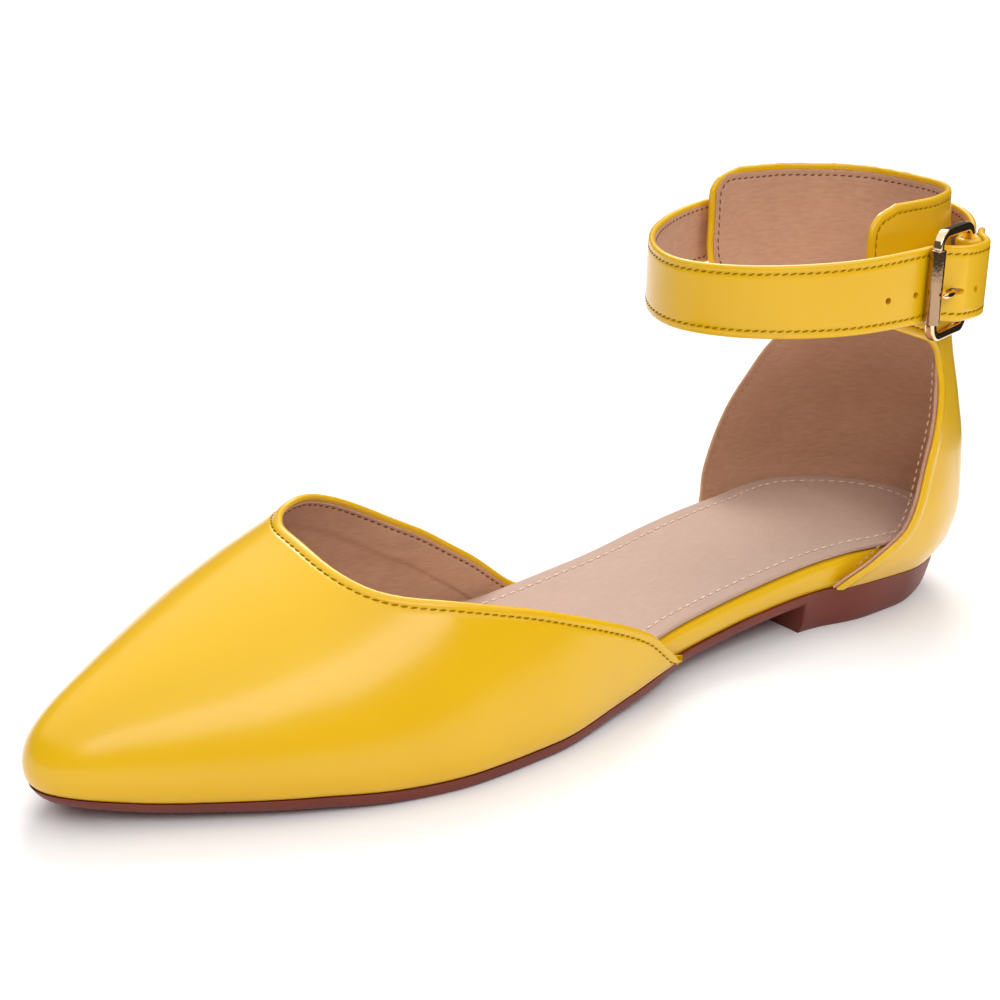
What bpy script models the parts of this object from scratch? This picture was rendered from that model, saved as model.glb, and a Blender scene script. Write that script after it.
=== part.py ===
"""A woman's left pointed flat with an open waist, a tall heel panel and an ankle strap.

All lengths are in metres. The toe points along +X, the outer side of the foot
is +Y and the shoe stands on z = 0.
"""
import math

import bmesh
import bpy

# Outsole and heel, one moulding
FOOT_LENGTH = 0.2665
HEEL_WIDTH = 0.054
WAIST_WIDTH = 0.0492
BALL_WIDTH = 0.075
SOLE_THICKNESS = 0.0033
HEEL_LIFT = 0.0065
WAIST_LIFT = 0.0087
TOE_SPRING = 0.0049
BREAST_PLACE = 0.0625
HEEL_TAPER = 0.0024
SOLE_CHAMFER = 0.0009

# Wrapped footbed and sock liner
FOOTBED_THICKNESS = 0.0062
LINER_THICKNESS = 0.0012
LINER_INSET = 0.0016
LINER_FLARE = 0.0034
FOOTBED_ROUND = 0.0011
HEEL_PADDING = 0.0028

# Upper
UPPER_WALL = 0.0016
CLEARANCE = 0.0003
FEATHER_WALL_HEIGHT = 0.0045
VAMP_BULGE = 0.0010
RIDGE_HEIGHT = 0.0655
RIDGE_OFFSET = -0.0070
SIDE_POWER = 2.1
TOP_POWER = 1.8
PANEL_HEIGHT = 0.1012
CUP_BULGE = 0.0060

# Ankle strap
STRAP_WIDTH = 0.0178
STRAP_THICKNESS = 0.0018
STRAP_SET_DOWN = 0.0075
STRAP_FALL = 0.08
STRAP_DROP = 0.0024
STRAP_WIDER = 1.09
STRAP_CENTRE_X = 0.0430
STRAP_CENTRE_Y = -0.0024
STRAP_FRONT = 0.0470
STRAP_REAR = 0.0448
STRAP_SIDE = 0.0376
STRAP_POWER = 1.80
STRAP_REAR_POWER = 2.70
STRAP_BUCKLE_POWER = 2.00
STRAP_TAIL = 0.0145
STRAP_FOLD = 0.0120
SLOT_HEIGHT = 0.0042
HOLE_LENGTH = 0.0038

# Buckle
BUCKLE_PLACE_X = 0.0405
BUCKLE_PITCH = 0.0185
BUCKLE_SIDE_GAP = 0.0021
BAR_RADIUS = 0.00125
ROLLER_RADIUS = 0.0020
ROLLER_GAP = 0.0002
PRONG_RADIUS = 0.0008
CORNER_RADIUS = 0.0034
HOLE_DROP = 0.0018

# Half widths at the feather line: share of the length, the width they follow,
# inner half and outer half as shares of that width
OUTLINE = (
    (0.00, HEEL_WIDTH, 0.000, 0.000),
    (0.02, HEEL_WIDTH, 0.268, 0.272),
    (0.05, HEEL_WIDTH, 0.385, 0.389),
    (0.10, HEEL_WIDTH, 0.480, 0.469),
    (0.16, HEEL_WIDTH, 0.507, 0.483),
    (0.23, HEEL_WIDTH, 0.485, 0.469),
    (0.31, WAIST_WIDTH, 0.500, 0.512),
    (0.40, WAIST_WIDTH, 0.452, 0.546),
    (0.50, BALL_WIDTH, 0.299, 0.431),
    (0.60, BALL_WIDTH, 0.376, 0.507),
    (0.68, BALL_WIDTH, 0.456, 0.524),
    (0.75, BALL_WIDTH, 0.475, 0.487),
    (0.82, BALL_WIDTH, 0.421, 0.405),
    (0.90, BALL_WIDTH, 0.284, 0.264),
    (0.95, BALL_WIDTH, 0.180, 0.163),
    (0.98, BALL_WIDTH, 0.108, 0.101),
    (1.00, BALL_WIDTH, 0.000, 0.000),
)

# How far the sole is raised off the floor: share of the length, the size, its share
LIFT = (
    (0.00, HEEL_LIFT, 1.00),
    (0.22, WAIST_LIFT, 1.00),
    (0.37, WAIST_LIFT, 0.65),
    (0.52, WAIST_LIFT, 0.16),
    (0.60, WAIST_LIFT, 0.00),
    (0.72, TOE_SPRING, 0.00),
    (0.82, TOE_SPRING, 0.28),
    (0.93, TOE_SPRING, 0.50),
    (1.00, TOE_SPRING, 1.00),
)

# How much of the upper's wall the outsole's edge reaches out to carry
WELT = (
    (0.00, 1.0),
    (0.15, 1.0),
    (0.22, 0.0),
    (0.39, 0.0),
    (0.46, 1.0),
    (1.00, 1.0),
)

# Station, share of the padding that lifts the heel seat
PADDING_ROWS = (
    (0.00, 1.000),
    (0.08, 0.950),
    (0.16, 0.600),
    (0.28, 0.100),
    (0.34, 0.000),
    (1.00, 0.000),
)

# How much of its flare the sock liner has, to reach the wall of the heel cup
LINER_HEEL = (
    (0.00, 1.0),
    (0.10, 1.0),
    (0.19, 0.0),
    (1.00, 0.0),
)

# Rise of the vamp's ridge over its side walls, shares of RIDGE_HEIGHT
RIDGE = (
    (0.40, 1.000),
    (0.55, 0.890),
    (0.67, 0.810),
    (0.745, 0.645),
    (0.82, 0.503),
    (0.895, 0.364),
    (0.95, 0.240),
    (0.98, 0.145),
    (1.00, 0.000),
)

# The vamp's top edge from its outer end over the throat to its inner end:
# share of the length, place across the foot from 0 outside to 1 inside
TOP_EDGE = (
    (0.427, 0.050),
    (0.462, 0.100),
    (0.490, 0.127),
    (0.541, 0.167),
    (0.596, 0.207),
    (0.643, 0.234),
    (0.688, 0.264),
    (0.724, 0.302),
    (0.747, 0.352),
    (0.758, 0.420),
    (0.757, 0.495),
    (0.747, 0.550),
    (0.730, 0.605),
    (0.707, 0.645),
    (0.675, 0.690),
    (0.643, 0.725),
    (0.590, 0.780),
    (0.562, 0.806),
    (0.534, 0.838),
    (0.506, 0.868),
    (0.477, 0.905),
    (0.457, 0.930),
    (0.436, 0.950),
)
VAMP_SHOULDER = 0.12

# The heel panel by share of its height: bulge over the feather line behind,
# outside and inside as shares of CUP_BULGE
CUP = (
    (0.00, 0.00, 0.00, 0.00),
    (0.07, 0.61, 0.62, 0.36),
    (0.15, 1.03, 0.82, 0.68),
    (0.30, 1.12, 0.54, 0.78),
    (0.45, 0.58, 0.24, 0.83),
    (0.60, 0.00, -0.24, 0.87),
    (0.80, -0.40, -0.62, 1.00),
    (1.00, -0.79, -0.92, 1.15),
)

# Its front edges: share of its height, station of the outer edge and of the
# inner edge as shares of PANEL_REACH
PANEL_REACH = 0.0540
FRONT_EDGE = (
    (0.000, 1.010, 0.960),
    (0.030, 0.955, 0.945),
    (0.080, 0.835, 0.905),
    (0.150, 0.655, 0.862),
    (0.300, 0.512, 0.742),
    (0.450, 0.415, 0.545),
    (0.540, 0.380, 0.410),
    (0.580, 0.380, 0.375),
    (0.620, 0.430, 0.430),
    (0.660, 0.620, 0.620),
    (0.700, 0.820, 0.825),
    (0.740, 0.895, 0.885),
    (0.800, 0.920, 0.905),
    (0.860, 0.920, 0.900),
    (0.935, 0.912, 0.897),
    (0.975, 0.860, 0.850),
    (1.000, 0.730, 0.720),
)


def smooth_value(rows, column, place):
    """A monotone cubic through the rows' given column, read at place."""
    xs = [row[0] for row in rows]
    ys = [row[column] for row in rows]
    place = min(max(place, xs[0]), xs[-1])
    steps = [b - a for a, b in zip(xs, xs[1:])]
    slopes = [(b - a) / h for a, b, h in zip(ys, ys[1:], steps)]
    tangents = [slopes[0]]
    for i in range(1, len(slopes)):
        before, after = slopes[i - 1], slopes[i]
        if before * after <= 0:
            tangents.append(0.0)
            continue
        w_before = 2 * steps[i] + steps[i - 1]
        w_after = steps[i] + 2 * steps[i - 1]
        tangents.append((w_before + w_after) / (w_before / before + w_after / after))
    tangents.append(slopes[-1])
    k = 0
    while k < len(steps) - 1 and place > xs[k + 1]:
        k += 1
    h = steps[k]
    t = (place - xs[k]) / h
    return ((1 + 2 * t) * (1 - t) ** 2 * ys[k] + t * (1 - t) ** 2 * h * tangents[k]
            + t * t * (3 - 2 * t) * ys[k + 1] + t * t * (t - 1) * h * tangents[k + 1])


# Squared half widths make the two ends round
OUTLINE_SQUARES = tuple(
    (row[0], (row[1] * row[2]) ** 2, (row[1] * row[3]) ** 2) for row in OUTLINE)
LIFT_HEIGHTS = tuple((row[0], row[1] * row[2]) for row in LIFT)
RIDGE_SQUARES = tuple((row[0], (row[1] * RIDGE_HEIGHT) ** 2) for row in RIDGE)


def half_width(x, outer):
    column = 2 if outer else 1
    return math.sqrt(max(smooth_value(OUTLINE_SQUARES, column, x / FOOT_LENGTH), 0.0))


def outline_point(x, outer, offset=0.0):
    """A point of the feather line moved out by offset, with the outward normal."""
    side = 1.0 if outer else -1.0
    if x <= 0.0:
        return -offset, 0.0, -1.0, 0.0
    if x >= FOOT_LENGTH:
        return FOOT_LENGTH + offset, 0.0, 1.0, 0.0
    step = 0.00005
    behind = max(x - step, 0.0)
    ahead = min(x + step, FOOT_LENGTH)
    along = ahead - behind
    across = half_width(ahead, outer) - half_width(behind, outer)
    size = math.hypot(along, across)
    nx, ny = -across / size, side * along / size
    return x + offset * nx, side * half_width(x, outer) + offset * ny, nx, ny


def lift(x):
    return max(smooth_value(LIFT_HEIGHTS, 1, x / FOOT_LENGTH), 0.0)


def sole_top(x):
    return lift(x) + SOLE_THICKNESS


def mix(a, b, t):
    return a + (b - a) * t


def add_object(name, vertices, faces, material):
    mesh = bpy.data.meshes.new(name)
    mesh.from_pydata(vertices, [], faces)
    mesh.validate()
    shape = bmesh.new()
    shape.from_mesh(mesh)
    bmesh.ops.recalc_face_normals(shape, faces=shape.faces)
    bmesh.ops.triangulate(shape, faces=[f for f in shape.faces if len(f.verts) > 3])
    shape.to_mesh(mesh)
    shape.free()
    mesh.shade_smooth()
    mesh.set_sharp_from_angle(angle=math.radians(40))
    piece = bpy.data.objects.new(name, mesh)
    bpy.context.scene.collection.objects.link(piece)
    mesh.materials.append(material)
    return piece


def add_material(name, colour, roughness, metallic=0.0):
    material = bpy.data.materials.new(name)
    material.use_nodes = True
    surface = material.node_tree.nodes["Principled BSDF"]
    surface.inputs["Base Color"].default_value = (*colour, 1.0)
    surface.inputs["Roughness"].default_value = roughness
    surface.inputs["Metallic"].default_value = metallic
    return material


def spread(count, start, end):
    """Stations from start to end, closer together near both round ends."""
    return [mix(start, end, 0.5 - 0.5 * math.cos(math.pi * i / count)) for i in range(count + 1)]


def stacked_body(name, stations, levels, material):
    """A plate inside the feather line: one closed ring of points for each level,
    from the top one down, with ladder faces across the first and the last."""
    count = len(stations)
    ring = [(x, True) for x in stations] + [(x, False) for x in stations[-2:0:-1]]
    vertices = []
    for level in levels:
        for x, outer in ring:
            offset, z = level(x)
            px, py, _, _ = outline_point(x, outer, offset)
            vertices.append((px, py, z))
    size = len(ring)
    faces = []
    for row in range(len(levels) - 1):
        for k in range(size):
            a = row * size + k
            b = row * size + (k + 1) % size
            faces.append((a, b, b + size, a + size))
    for row in (0, len(levels) - 1):
        base = row * size
        for k in range(count - 1):
            left, right = k, k + 1
            far_left = (size - k) % size
            far_right = (size - k - 1) % size
            corners = [left, right, far_right, far_left]
            corners = [c for i, c in enumerate(corners) if c not in corners[:i]]
            faces.append(tuple(base + c for c in corners))
    return add_object(name, vertices, faces, material)


def shell_body(name, outer_grid, inner_grid, material, missing=()):
    """A sheet with thickness from two grids of points, without the missing cells."""
    rows = len(outer_grid)
    columns = len(outer_grid[0])
    missing = set(missing)
    vertices = [p for line in outer_grid for p in line] + [p for line in inner_grid for p in line]
    half = rows * columns
    faces = []

    def kept(i, j):
        return 0 <= i < rows - 1 and 0 <= j < columns - 1 and (i, j) not in missing

    for i in range(rows - 1):
        for j in range(columns - 1):
            if not kept(i, j):
                continue
            a, b = i * columns + j, i * columns + j + 1
            c, d = (i + 1) * columns + j + 1, (i + 1) * columns + j
            faces.append((a, b, c, d))
            faces.append((d + half, c + half, b + half, a + half))
            edges = (((a, b), (i - 1, j)), ((b, c), (i, j + 1)),
                     ((c, d), (i + 1, j)), ((d, a), (i, j - 1)))
            for (p, q), (ni, nj) in edges:
                if not kept(ni, nj):
                    faces.append((q, p, p + half, q + half))
    used = sorted({v for face in faces for v in face})
    order = {v: i for i, v in enumerate(used)}
    vertices = [vertices[v] for v in used]
    faces = [tuple(order[v] for v in face) for face in faces]
    return add_object(name, vertices, faces, material)


def grid_normals(grid):
    rows = len(grid)
    columns = len(grid[0])
    normals = []
    for i in range(rows):
        line = []
        for j in range(columns):
            a = grid[max(i - 1, 0)][j]
            b = grid[min(i + 1, rows - 1)][j]
            c = grid[i][max(j - 1, 0)]
            d = grid[i][min(j + 1, columns - 1)]
            u = [q - p for p, q in zip(a, b)]
            v = [q - p for p, q in zip(c, d)]
            n = (u[1] * v[2] - u[2] * v[1], u[2] * v[0] - u[0] * v[2], u[0] * v[1] - u[1] * v[0])
            size = math.sqrt(sum(value * value for value in n)) or 1.0
            line.append(tuple(value / size for value in n))
        normals.append(line)
    return normals


def tube_body(name, path, radius, sides, material, closed=False, flat=1.0, up=(0, 0, 1)):
    """A round bar along a path of points; flat squeezes it across the up direction."""
    count = len(path)
    vertices = []
    for i, point in enumerate(path):
        before = path[(i - 1) % count] if closed or i > 0 else path[0]
        after = path[(i + 1) % count] if closed or i < count - 1 else path[-1]
        along = unit(subtract(after, before))
        side = unit(cross(along, up))
        other = cross(side, along)
        for k in range(sides):
            angle = 2 * math.pi * (k + 0.5) / sides
            a, b = radius * math.cos(angle), radius * flat * math.sin(angle)
            vertices.append(tuple(point[m] + side[m] * a + other[m] * b for m in range(3)))
    faces = []
    for i in range(count if closed else count - 1):
        j = (i + 1) % count
        for k in range(sides):
            n = (k + 1) % sides
            faces.append((i * sides + k, i * sides + n, j * sides + n, j * sides + k))
    if not closed:
        faces.append(tuple(range(sides))[::-1])
        faces.append(tuple((count - 1) * sides + k for k in range(sides)))
    return add_object(name, vertices, faces, material)


def subtract(a, b):
    return tuple(p - q for p, q in zip(a, b))


def cross(a, b):
    return (a[1] * b[2] - a[2] * b[1], a[2] * b[0] - a[0] * b[2], a[0] * b[1] - a[1] * b[0])


def unit(a):
    size = math.sqrt(sum(value * value for value in a)) or 1.0
    return tuple(value / size for value in a)


def polyline(points, count):
    """count + 1 points at even steps along a run of points."""
    lengths = [0.0]
    for a, b in zip(points, points[1:]):
        lengths.append(lengths[-1] + math.dist(a, b))
    result = []
    k = 0
    for i in range(count + 1):
        target = lengths[-1] * i / count
        while k < len(lengths) - 2 and lengths[k + 1] < target:
            k += 1
        span = lengths[k + 1] - lengths[k]
        t = (target - lengths[k]) / span if span else 0.0
        result.append(tuple(mix(p, q, min(max(t, 0.0), 1.0)) for p, q in zip(points[k], points[k + 1])))
    return result


# Remove whatever the opened file holds
for old in list(bpy.data.objects):
    bpy.data.objects.remove(old, do_unlink=True)

yellow = add_material("yellow coated leather", (0.93, 0.62, 0.02), 0.38)
tan = add_material("tan lining", (0.62, 0.38, 0.25), 0.7)
brown = add_material("brown moulded rubber", (0.16, 0.045, 0.03), 0.45)
gold = add_material("pale gold plating", (0.83, 0.62, 0.38), 0.18, 1.0)

# Outsole with its heel, the floor contact flat under the heel and the ball
WALL_REACH = UPPER_WALL + CLEARANCE


def sole_reach(x):
    return WALL_REACH * smooth_value(WELT, 1, x / FOOT_LENGTH)


BREAST_SLOPE = 0.0008
sole_stations = sorted(
    set(spread(44, 0.0, FOOT_LENGTH)) | {BREAST_PLACE, BREAST_PLACE + BREAST_SLOPE})
sole_stations = [x for x in sole_stations
                 if x in (BREAST_PLACE, BREAST_PLACE + BREAST_SLOPE)
                 or abs(x - BREAST_PLACE - BREAST_SLOPE / 2) > 0.0015]


def heel_share(x):
    return 1.0 if x <= BREAST_PLACE else 0.0


def sole_level(share, chamfer):
    def level(x):
        drop = SOLE_THICKNESS + heel_share(x) * lift(x)
        taper = mix(SOLE_CHAMFER * 0.6, HEEL_TAPER, heel_share(x)) * share
        return sole_reach(x) - taper - chamfer, sole_top(x) - drop * share + chamfer * 0.5 * share
    return level


def sole_bottom(x):
    taper = mix(SOLE_CHAMFER * 0.6, HEEL_TAPER, heel_share(x))
    return sole_reach(x) - taper - SOLE_CHAMFER, lift(x) * (1.0 - heel_share(x))


def sole_side_end(x):
    taper = mix(SOLE_CHAMFER * 0.6, HEEL_TAPER, heel_share(x))
    return sole_reach(x) - taper, lift(x) * (1.0 - heel_share(x)) + SOLE_CHAMFER


def sole_upper(x):
    return sole_reach(x), sole_top(x)


stacked_body("outsole", sole_stations, [sole_upper, sole_side_end, sole_bottom], brown)

# Footbed wrapped in the upper's leather, its edge full and round
bed_stations = spread(40, 0.0, FOOT_LENGTH)


def bed_thickness(x):
    return FOOTBED_THICKNESS + HEEL_PADDING * smooth_value(PADDING_ROWS, 1, x / FOOT_LENGTH)


def bed_level(offset, share):
    def level(x):
        return offset, sole_top(x) + CLEARANCE + bed_thickness(x) * share
    return level


stacked_body(
    "footbed", bed_stations,
    [bed_level(-FOOTBED_ROUND * 2, 1.0), bed_level(-FOOTBED_ROUND * 0.5, 0.88),
     bed_level(0.0, 0.55), bed_level(-FOOTBED_ROUND * 0.2, 0.15), bed_level(-FOOTBED_ROUND, 0.0)],
    yellow)

# Sock liner on the footbed


def liner_level(offset, share):
    def level(x):
        base = sole_top(x) + CLEARANCE + bed_thickness(x) + CLEARANCE
        flare = LINER_FLARE * smooth_value(LINER_HEEL, 1, x / FOOT_LENGTH)
        return flare - LINER_INSET + offset, base + LINER_THICKNESS * share
    return level


stacked_body(
    "insole", bed_stations,
    [liner_level(-LINER_THICKNESS * 0.4, 1.0), liner_level(0.0, 0.7), liner_level(0.0, 0.0)], tan)

# Vamp: ribs that run from the feather line up to the top edge
VAMP_FOOT = WALL_REACH
VAMP_SIDE = WALL_REACH + VAMP_BULGE


def side_curve(outer):
    """The plan of the vamp's side at its fullest, as rows of x and half width."""
    rows = []
    for i in range(241):
        s = 1.0 - (1.0 - i / 240.0) ** 2
        px, py, _, _ = outline_point(mix(0.38, 1.0, s) * FOOT_LENGTH, outer, VAMP_SIDE)
        rows.append((px, abs(py)))
    return rows


SIDE_CURVES = (side_curve(False), side_curve(True))
VAMP_TIP = FOOT_LENGTH + VAMP_SIDE


def side_reach(x, outer):
    rows = SIDE_CURVES[1 if outer else 0]
    if x >= rows[-1][0]:
        return 0.0
    low, high = 0, len(rows) - 1
    while high - low > 1:
        middle = (low + high) // 2
        if rows[middle][0] <= x:
            low = middle
        else:
            high = middle
    t = (x - rows[low][0]) / (rows[high][0] - rows[low][0])
    a, b = rows[low][1] ** 2, rows[high][1] ** 2
    return math.sqrt(max(mix(a, b, t), 0.0))


def vamp_base(x):
    return sole_top(min(x, FOOT_LENGTH)) + CLEARANCE


def ridge_line(x):
    return RIDGE_OFFSET * min(max((VAMP_TIP - x) / (0.22 * FOOT_LENGTH), 0.0), 1.0)


def dome_height(x, y):
    """Height of the vamp's outer face over its side walls."""
    rise = math.sqrt(max(smooth_value(RIDGE_SQUARES, 1, x / VAMP_TIP), 0.0))
    middle = ridge_line(x)
    outer = y >= middle
    edge = side_reach(x, outer) * (1.0 if outer else -1.0)
    span = edge - middle
    share = abs((y - middle) / span) if abs(span) > 1e-9 else 1.0
    share = min(share, 1.0)
    return rise * (1.0 - share ** SIDE_POWER) ** (1.0 / TOP_POWER)


def across_point(x, place):
    """A point of the vamp's face at station x, place 0 outside to 1 inside."""
    outer = place <= 0.5
    reach = (place if outer else 1.0 - place) * 2.0
    if reach < VAMP_SHOULDER:
        t = reach / VAMP_SHOULDER
        offset = VAMP_FOOT + VAMP_BULGE * (1.0 - (1.0 - t) ** 2)
        px, py, _, _ = outline_point(x, outer, offset)
        return px, py, vamp_base(x) + FEATHER_WALL_HEIGHT * t
    angle = (reach - VAMP_SHOULDER) / (1.0 - VAMP_SHOULDER) * math.pi / 2
    edge = side_reach(x, outer) * (1.0 if outer else -1.0)
    share = math.cos(angle) ** (2.0 / SIDE_POWER)
    y = mix(ridge_line(x), edge, share)
    return x, y, vamp_base(x) + FEATHER_WALL_HEIGHT + dome_height(x, y)


def edge_half(rows, count):
    """Points of one half of the top edge, evenly spaced from its end to the throat."""
    fine = []
    table = [(i / (len(rows) - 1), row[0], row[1]) for i, row in enumerate(rows)]
    for i in range(161):
        x = smooth_value(table, 1, i / 160) * FOOT_LENGTH
        fine.append(across_point(x, smooth_value(table, 2, i / 160)))
    return polyline(fine, count)


def feather_half(start, outer, count):
    fine = []
    for i in range(401):
        s = 1.0 - (1.0 - i / 400) ** 2
        px, py, _, _ = outline_point(mix(start, FOOT_LENGTH, s), outer, 0.0)
        fine.append((px, py, mix(start, FOOT_LENGTH, s)))
    points = polyline(fine, count)
    return [p[2] for p in points]


THROAT_ROW = 9
VAMP_RIBS = 26
WALL_ROWS = 3
DOME_ROWS = 12


def across_share(x, y):
    """Signed place between the ridge line at 0 and a side at 1 outside or -1 inside."""
    middle = ridge_line(x)
    outer = y >= middle
    edge = side_reach(x, outer) * (1.0 if outer else -1.0)
    share = min(abs((y - middle) / (edge - middle)), 1.0)
    return share if outer else -share


def vamp_rib(x, outer, top):
    """Points from the feather line at station x up to a point of the top edge."""
    line = []
    room = top[2] - vamp_base(top[0])
    wall = min(FEATHER_WALL_HEIGHT, room * 0.6)
    for k in range(WALL_ROWS + 1):
        t = k / WALL_ROWS * wall / FEATHER_WALL_HEIGHT
        offset = VAMP_FOOT + VAMP_BULGE * (1.0 - (1.0 - t) ** 2)
        px, py, _, _ = outline_point(x, outer, offset)
        line.append((px, py, vamp_base(x) + FEATHER_WALL_HEIGHT * t))
    foot = line[-1]
    top_share = across_share(top[0], top[1])
    top_dome = dome_height(top[0], top[1])
    scale = (room - wall) / top_dome if top_dome > 0.0003 else 0.0
    follow = min(max((0.80 * FOOT_LENGTH - x) / (0.15 * FOOT_LENGTH), 0.0), 1.0)
    for k in range(1, DOME_ROWS):
        s = k / DOME_ROWS
        g = 1.0 - math.cos(s * math.pi / 2)
        qx = mix(foot[0], top[0], g)
        share = mix(1.0 if outer else -1.0, top_share, g)
        straight = across_share(qx, mix(foot[1], top[1], g))
        share = mix(straight, share, follow)
        side = side_reach(qx, True) if share >= 0 else -side_reach(qx, False)
        qy = mix(ridge_line(qx), side, abs(share))
        if scale:
            line.append((qx, qy, vamp_base(qx) + wall + dome_height(qx, qy) * scale))
        else:
            line.append(tuple(mix(p, q, s) for p, q in zip(foot, top)))
    line.append(top)
    return line


def vamp_grid():
    outer_edge = edge_half(TOP_EDGE[:THROAT_ROW + 1], VAMP_RIBS)
    inner_edge = edge_half(TOP_EDGE[:THROAT_ROW - 1:-1], VAMP_RIBS)
    outer_feet = feather_half(TOP_EDGE[0][0] * FOOT_LENGTH, True, VAMP_RIBS)
    inner_feet = feather_half(TOP_EDGE[-1][0] * FOOT_LENGTH, False, VAMP_RIBS)
    ribs = [vamp_rib(x, True, top) for x, top in zip(outer_feet, outer_edge)]
    ribs += [vamp_rib(x, False, top) for x, top in zip(inner_feet[-2::-1], inner_edge[-2::-1])]
    return ribs


vamp_outer = vamp_grid()
vamp_normals = grid_normals(vamp_outer)


def inward(grid, normals, wall, level_row):
    """The grid moved in by the wall; the bottom row moves level."""
    result = []
    for line, normal_line in zip(grid, normals):
        inner = []
        for k, (p, n) in enumerate(zip(line, normal_line)):
            if k < level_row:
                flat = math.hypot(n[0], n[1]) or 1.0
                n = (n[0] / flat, n[1] / flat, 0.0)
            inner.append(tuple(p[m] + n[m] * wall for m in range(3)))
        result.append(inner)
    return result


vamp_inner = inward(vamp_outer, vamp_normals, UPPER_WALL, 3)
shell_body("vamp", vamp_outer, vamp_inner, yellow)

# Heel panel: cup, neck and the cuff that the strap goes around
PANEL_COLUMNS = 40
PANEL_ROWS = 26


def panel_point(station, outer, share):
    base = outline_point(station, outer, 0.0)
    behind = smooth_value(CUP, 1, share)
    beside = smooth_value(CUP, 2 if outer else 3, share)
    weight = base[2] ** 2 if base[2] < 0 else 0.0
    bulge = CUP_BULGE * mix(beside, behind, weight) + WALL_REACH
    px, py, _, _ = outline_point(station, outer, bulge)
    low = sole_top(station) + CLEARANCE
    high = sole_top(0.0) + CLEARANCE + PANEL_HEIGHT
    return px, py, mix(low, high, share)


def panel_grid():
    grid = []
    for j in range(PANEL_COLUMNS + 1):
        c = 1.0 - 2.0 * j / PANEL_COLUMNS
        outer = c <= 0
        line = []
        for i in range(PANEL_ROWS + 1):
            share = i / PANEL_ROWS
            reach = PANEL_REACH * smooth_value(FRONT_EDGE, 1 if outer else 2, share)
            arc = arc_station(reach, outer, abs(c))
            line.append(panel_point(arc, outer, share))
        grid.append(line)
    return grid


def arc_table(outer):
    rows = [(0.0, 0.0)]
    last = outline_point(0.0, outer)
    total = 0.0
    for i in range(1, 301):
        x = (i / 300) ** 2 * PANEL_REACH * 1.5
        p = outline_point(x, outer)
        total += math.hypot(p[0] - last[0], p[1] - last[1])
        rows.append((total, x))
        last = p
    return rows


ARCS = (arc_table(False), arc_table(True))


def read_rows(rows, value, column, other):
    low, high = 0, len(rows) - 1
    while high - low > 1:
        middle = (low + high) // 2
        if rows[middle][column] <= value:
            low = middle
        else:
            high = middle
    t = (value - rows[low][column]) / (rows[high][column] - rows[low][column])
    return mix(rows[low][other], rows[high][other], t)


def arc_station(reach, outer, share):
    """The station at a share of the way round from the heel's back to reach."""
    rows = ARCS[1 if outer else 0]
    total = read_rows(rows, reach, 1, 0)
    return read_rows(rows, total * share, 0, 1) if share > 0 else 0.0


panel_outer = panel_grid()
panel_normals = grid_normals(panel_outer)
panel_inner = inward(panel_outer, panel_normals, UPPER_WALL, 2)
shell_body("heel_panel", panel_outer, panel_inner, yellow)

# Ankle strap: one band that starts at its free end, passes under the roller,
# goes round the front and the back of the ankle and folds round the buckle's bar


def strap_plan(angle):
    c, s = math.cos(angle), math.sin(angle)
    if c >= 0:
        power = 2.0 / STRAP_POWER
    else:
        power = 2.0 / (STRAP_BUCKLE_POWER if s > 0 else STRAP_REAR_POWER)
    length = STRAP_FRONT if c >= 0 else STRAP_REAR
    x = STRAP_CENTRE_X + length * math.copysign(abs(c) ** power, c)
    y = STRAP_CENTRE_Y + STRAP_SIDE * math.copysign(abs(s) ** power, s)
    return x, y


def strap_curve():
    """The band's middle line once round, from the buckle forward, with lengths."""
    start = math.pi / 2
    while strap_plan(start)[0] > BUCKLE_PLACE_X:
        start += 0.002
    points = [strap_plan(start - 2 * math.pi * i / 720) for i in range(721)]
    rows = [(0.0, points[0][0], points[0][1])]
    for a, b in zip(points, points[1:]):
        rows.append((rows[-1][0] + math.dist(a, b), b[0], b[1]))
    return rows


STRAP_ROWS = strap_curve()
STRAP_ROUND = STRAP_ROWS[-1][0]

FREE_END = BUCKLE_PITCH + STRAP_TAIL
TAIL_MIDDLE = -BUCKLE_PITCH - STRAP_TAIL * 0.58

# Length along the band from the roller, share of the drop, share of the widening
BUCKLE_END = (
    (-FREE_END, 1.15, 1.00),
    (-BUCKLE_PITCH, 1.00, 1.00),
    (0.0, 0.29, 1.00),
    (BUCKLE_PITCH, 0.10, 0.75),
    (BUCKLE_PITCH * 4, 0.00, 0.00),
    (STRAP_ROUND - BUCKLE_PITCH * 5, 0.00, 0.00),
    (STRAP_ROUND - BUCKLE_PITCH, 1.00, 1.00),
    (STRAP_ROUND, 1.00, 1.00),
)


def strap_height(s):
    """How tall the band is at length s."""
    return STRAP_WIDTH * mix(1.0, STRAP_WIDER, smooth_value(BUCKLE_END, 2, s))


def strap_place(s, out=0.0, up=0.0):
    """A point at length s along the band, out from its middle line and up."""
    drop = smooth_value(BUCKLE_END, 1, s)
    s = s % STRAP_ROUND
    step = 0.0012
    x, y = read_rows(STRAP_ROWS, s, 0, 1), read_rows(STRAP_ROWS, s, 0, 2)
    before, after = (s - step) % STRAP_ROUND, (s + step) % STRAP_ROUND
    ax, ay = read_rows(STRAP_ROWS, before, 0, 1), read_rows(STRAP_ROWS, before, 0, 2)
    bx, by = read_rows(STRAP_ROWS, after, 0, 1), read_rows(STRAP_ROWS, after, 0, 2)
    size = math.hypot(bx - ax, by - ay)
    nx, ny = -(by - ay) / size, (bx - ax) / size
    z = PANEL_HEIGHT - STRAP_SET_DOWN - STRAP_FALL * (x - STRAP_CENTRE_X) - STRAP_DROP * drop
    return x + nx * out, y + ny * out, z + up


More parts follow.
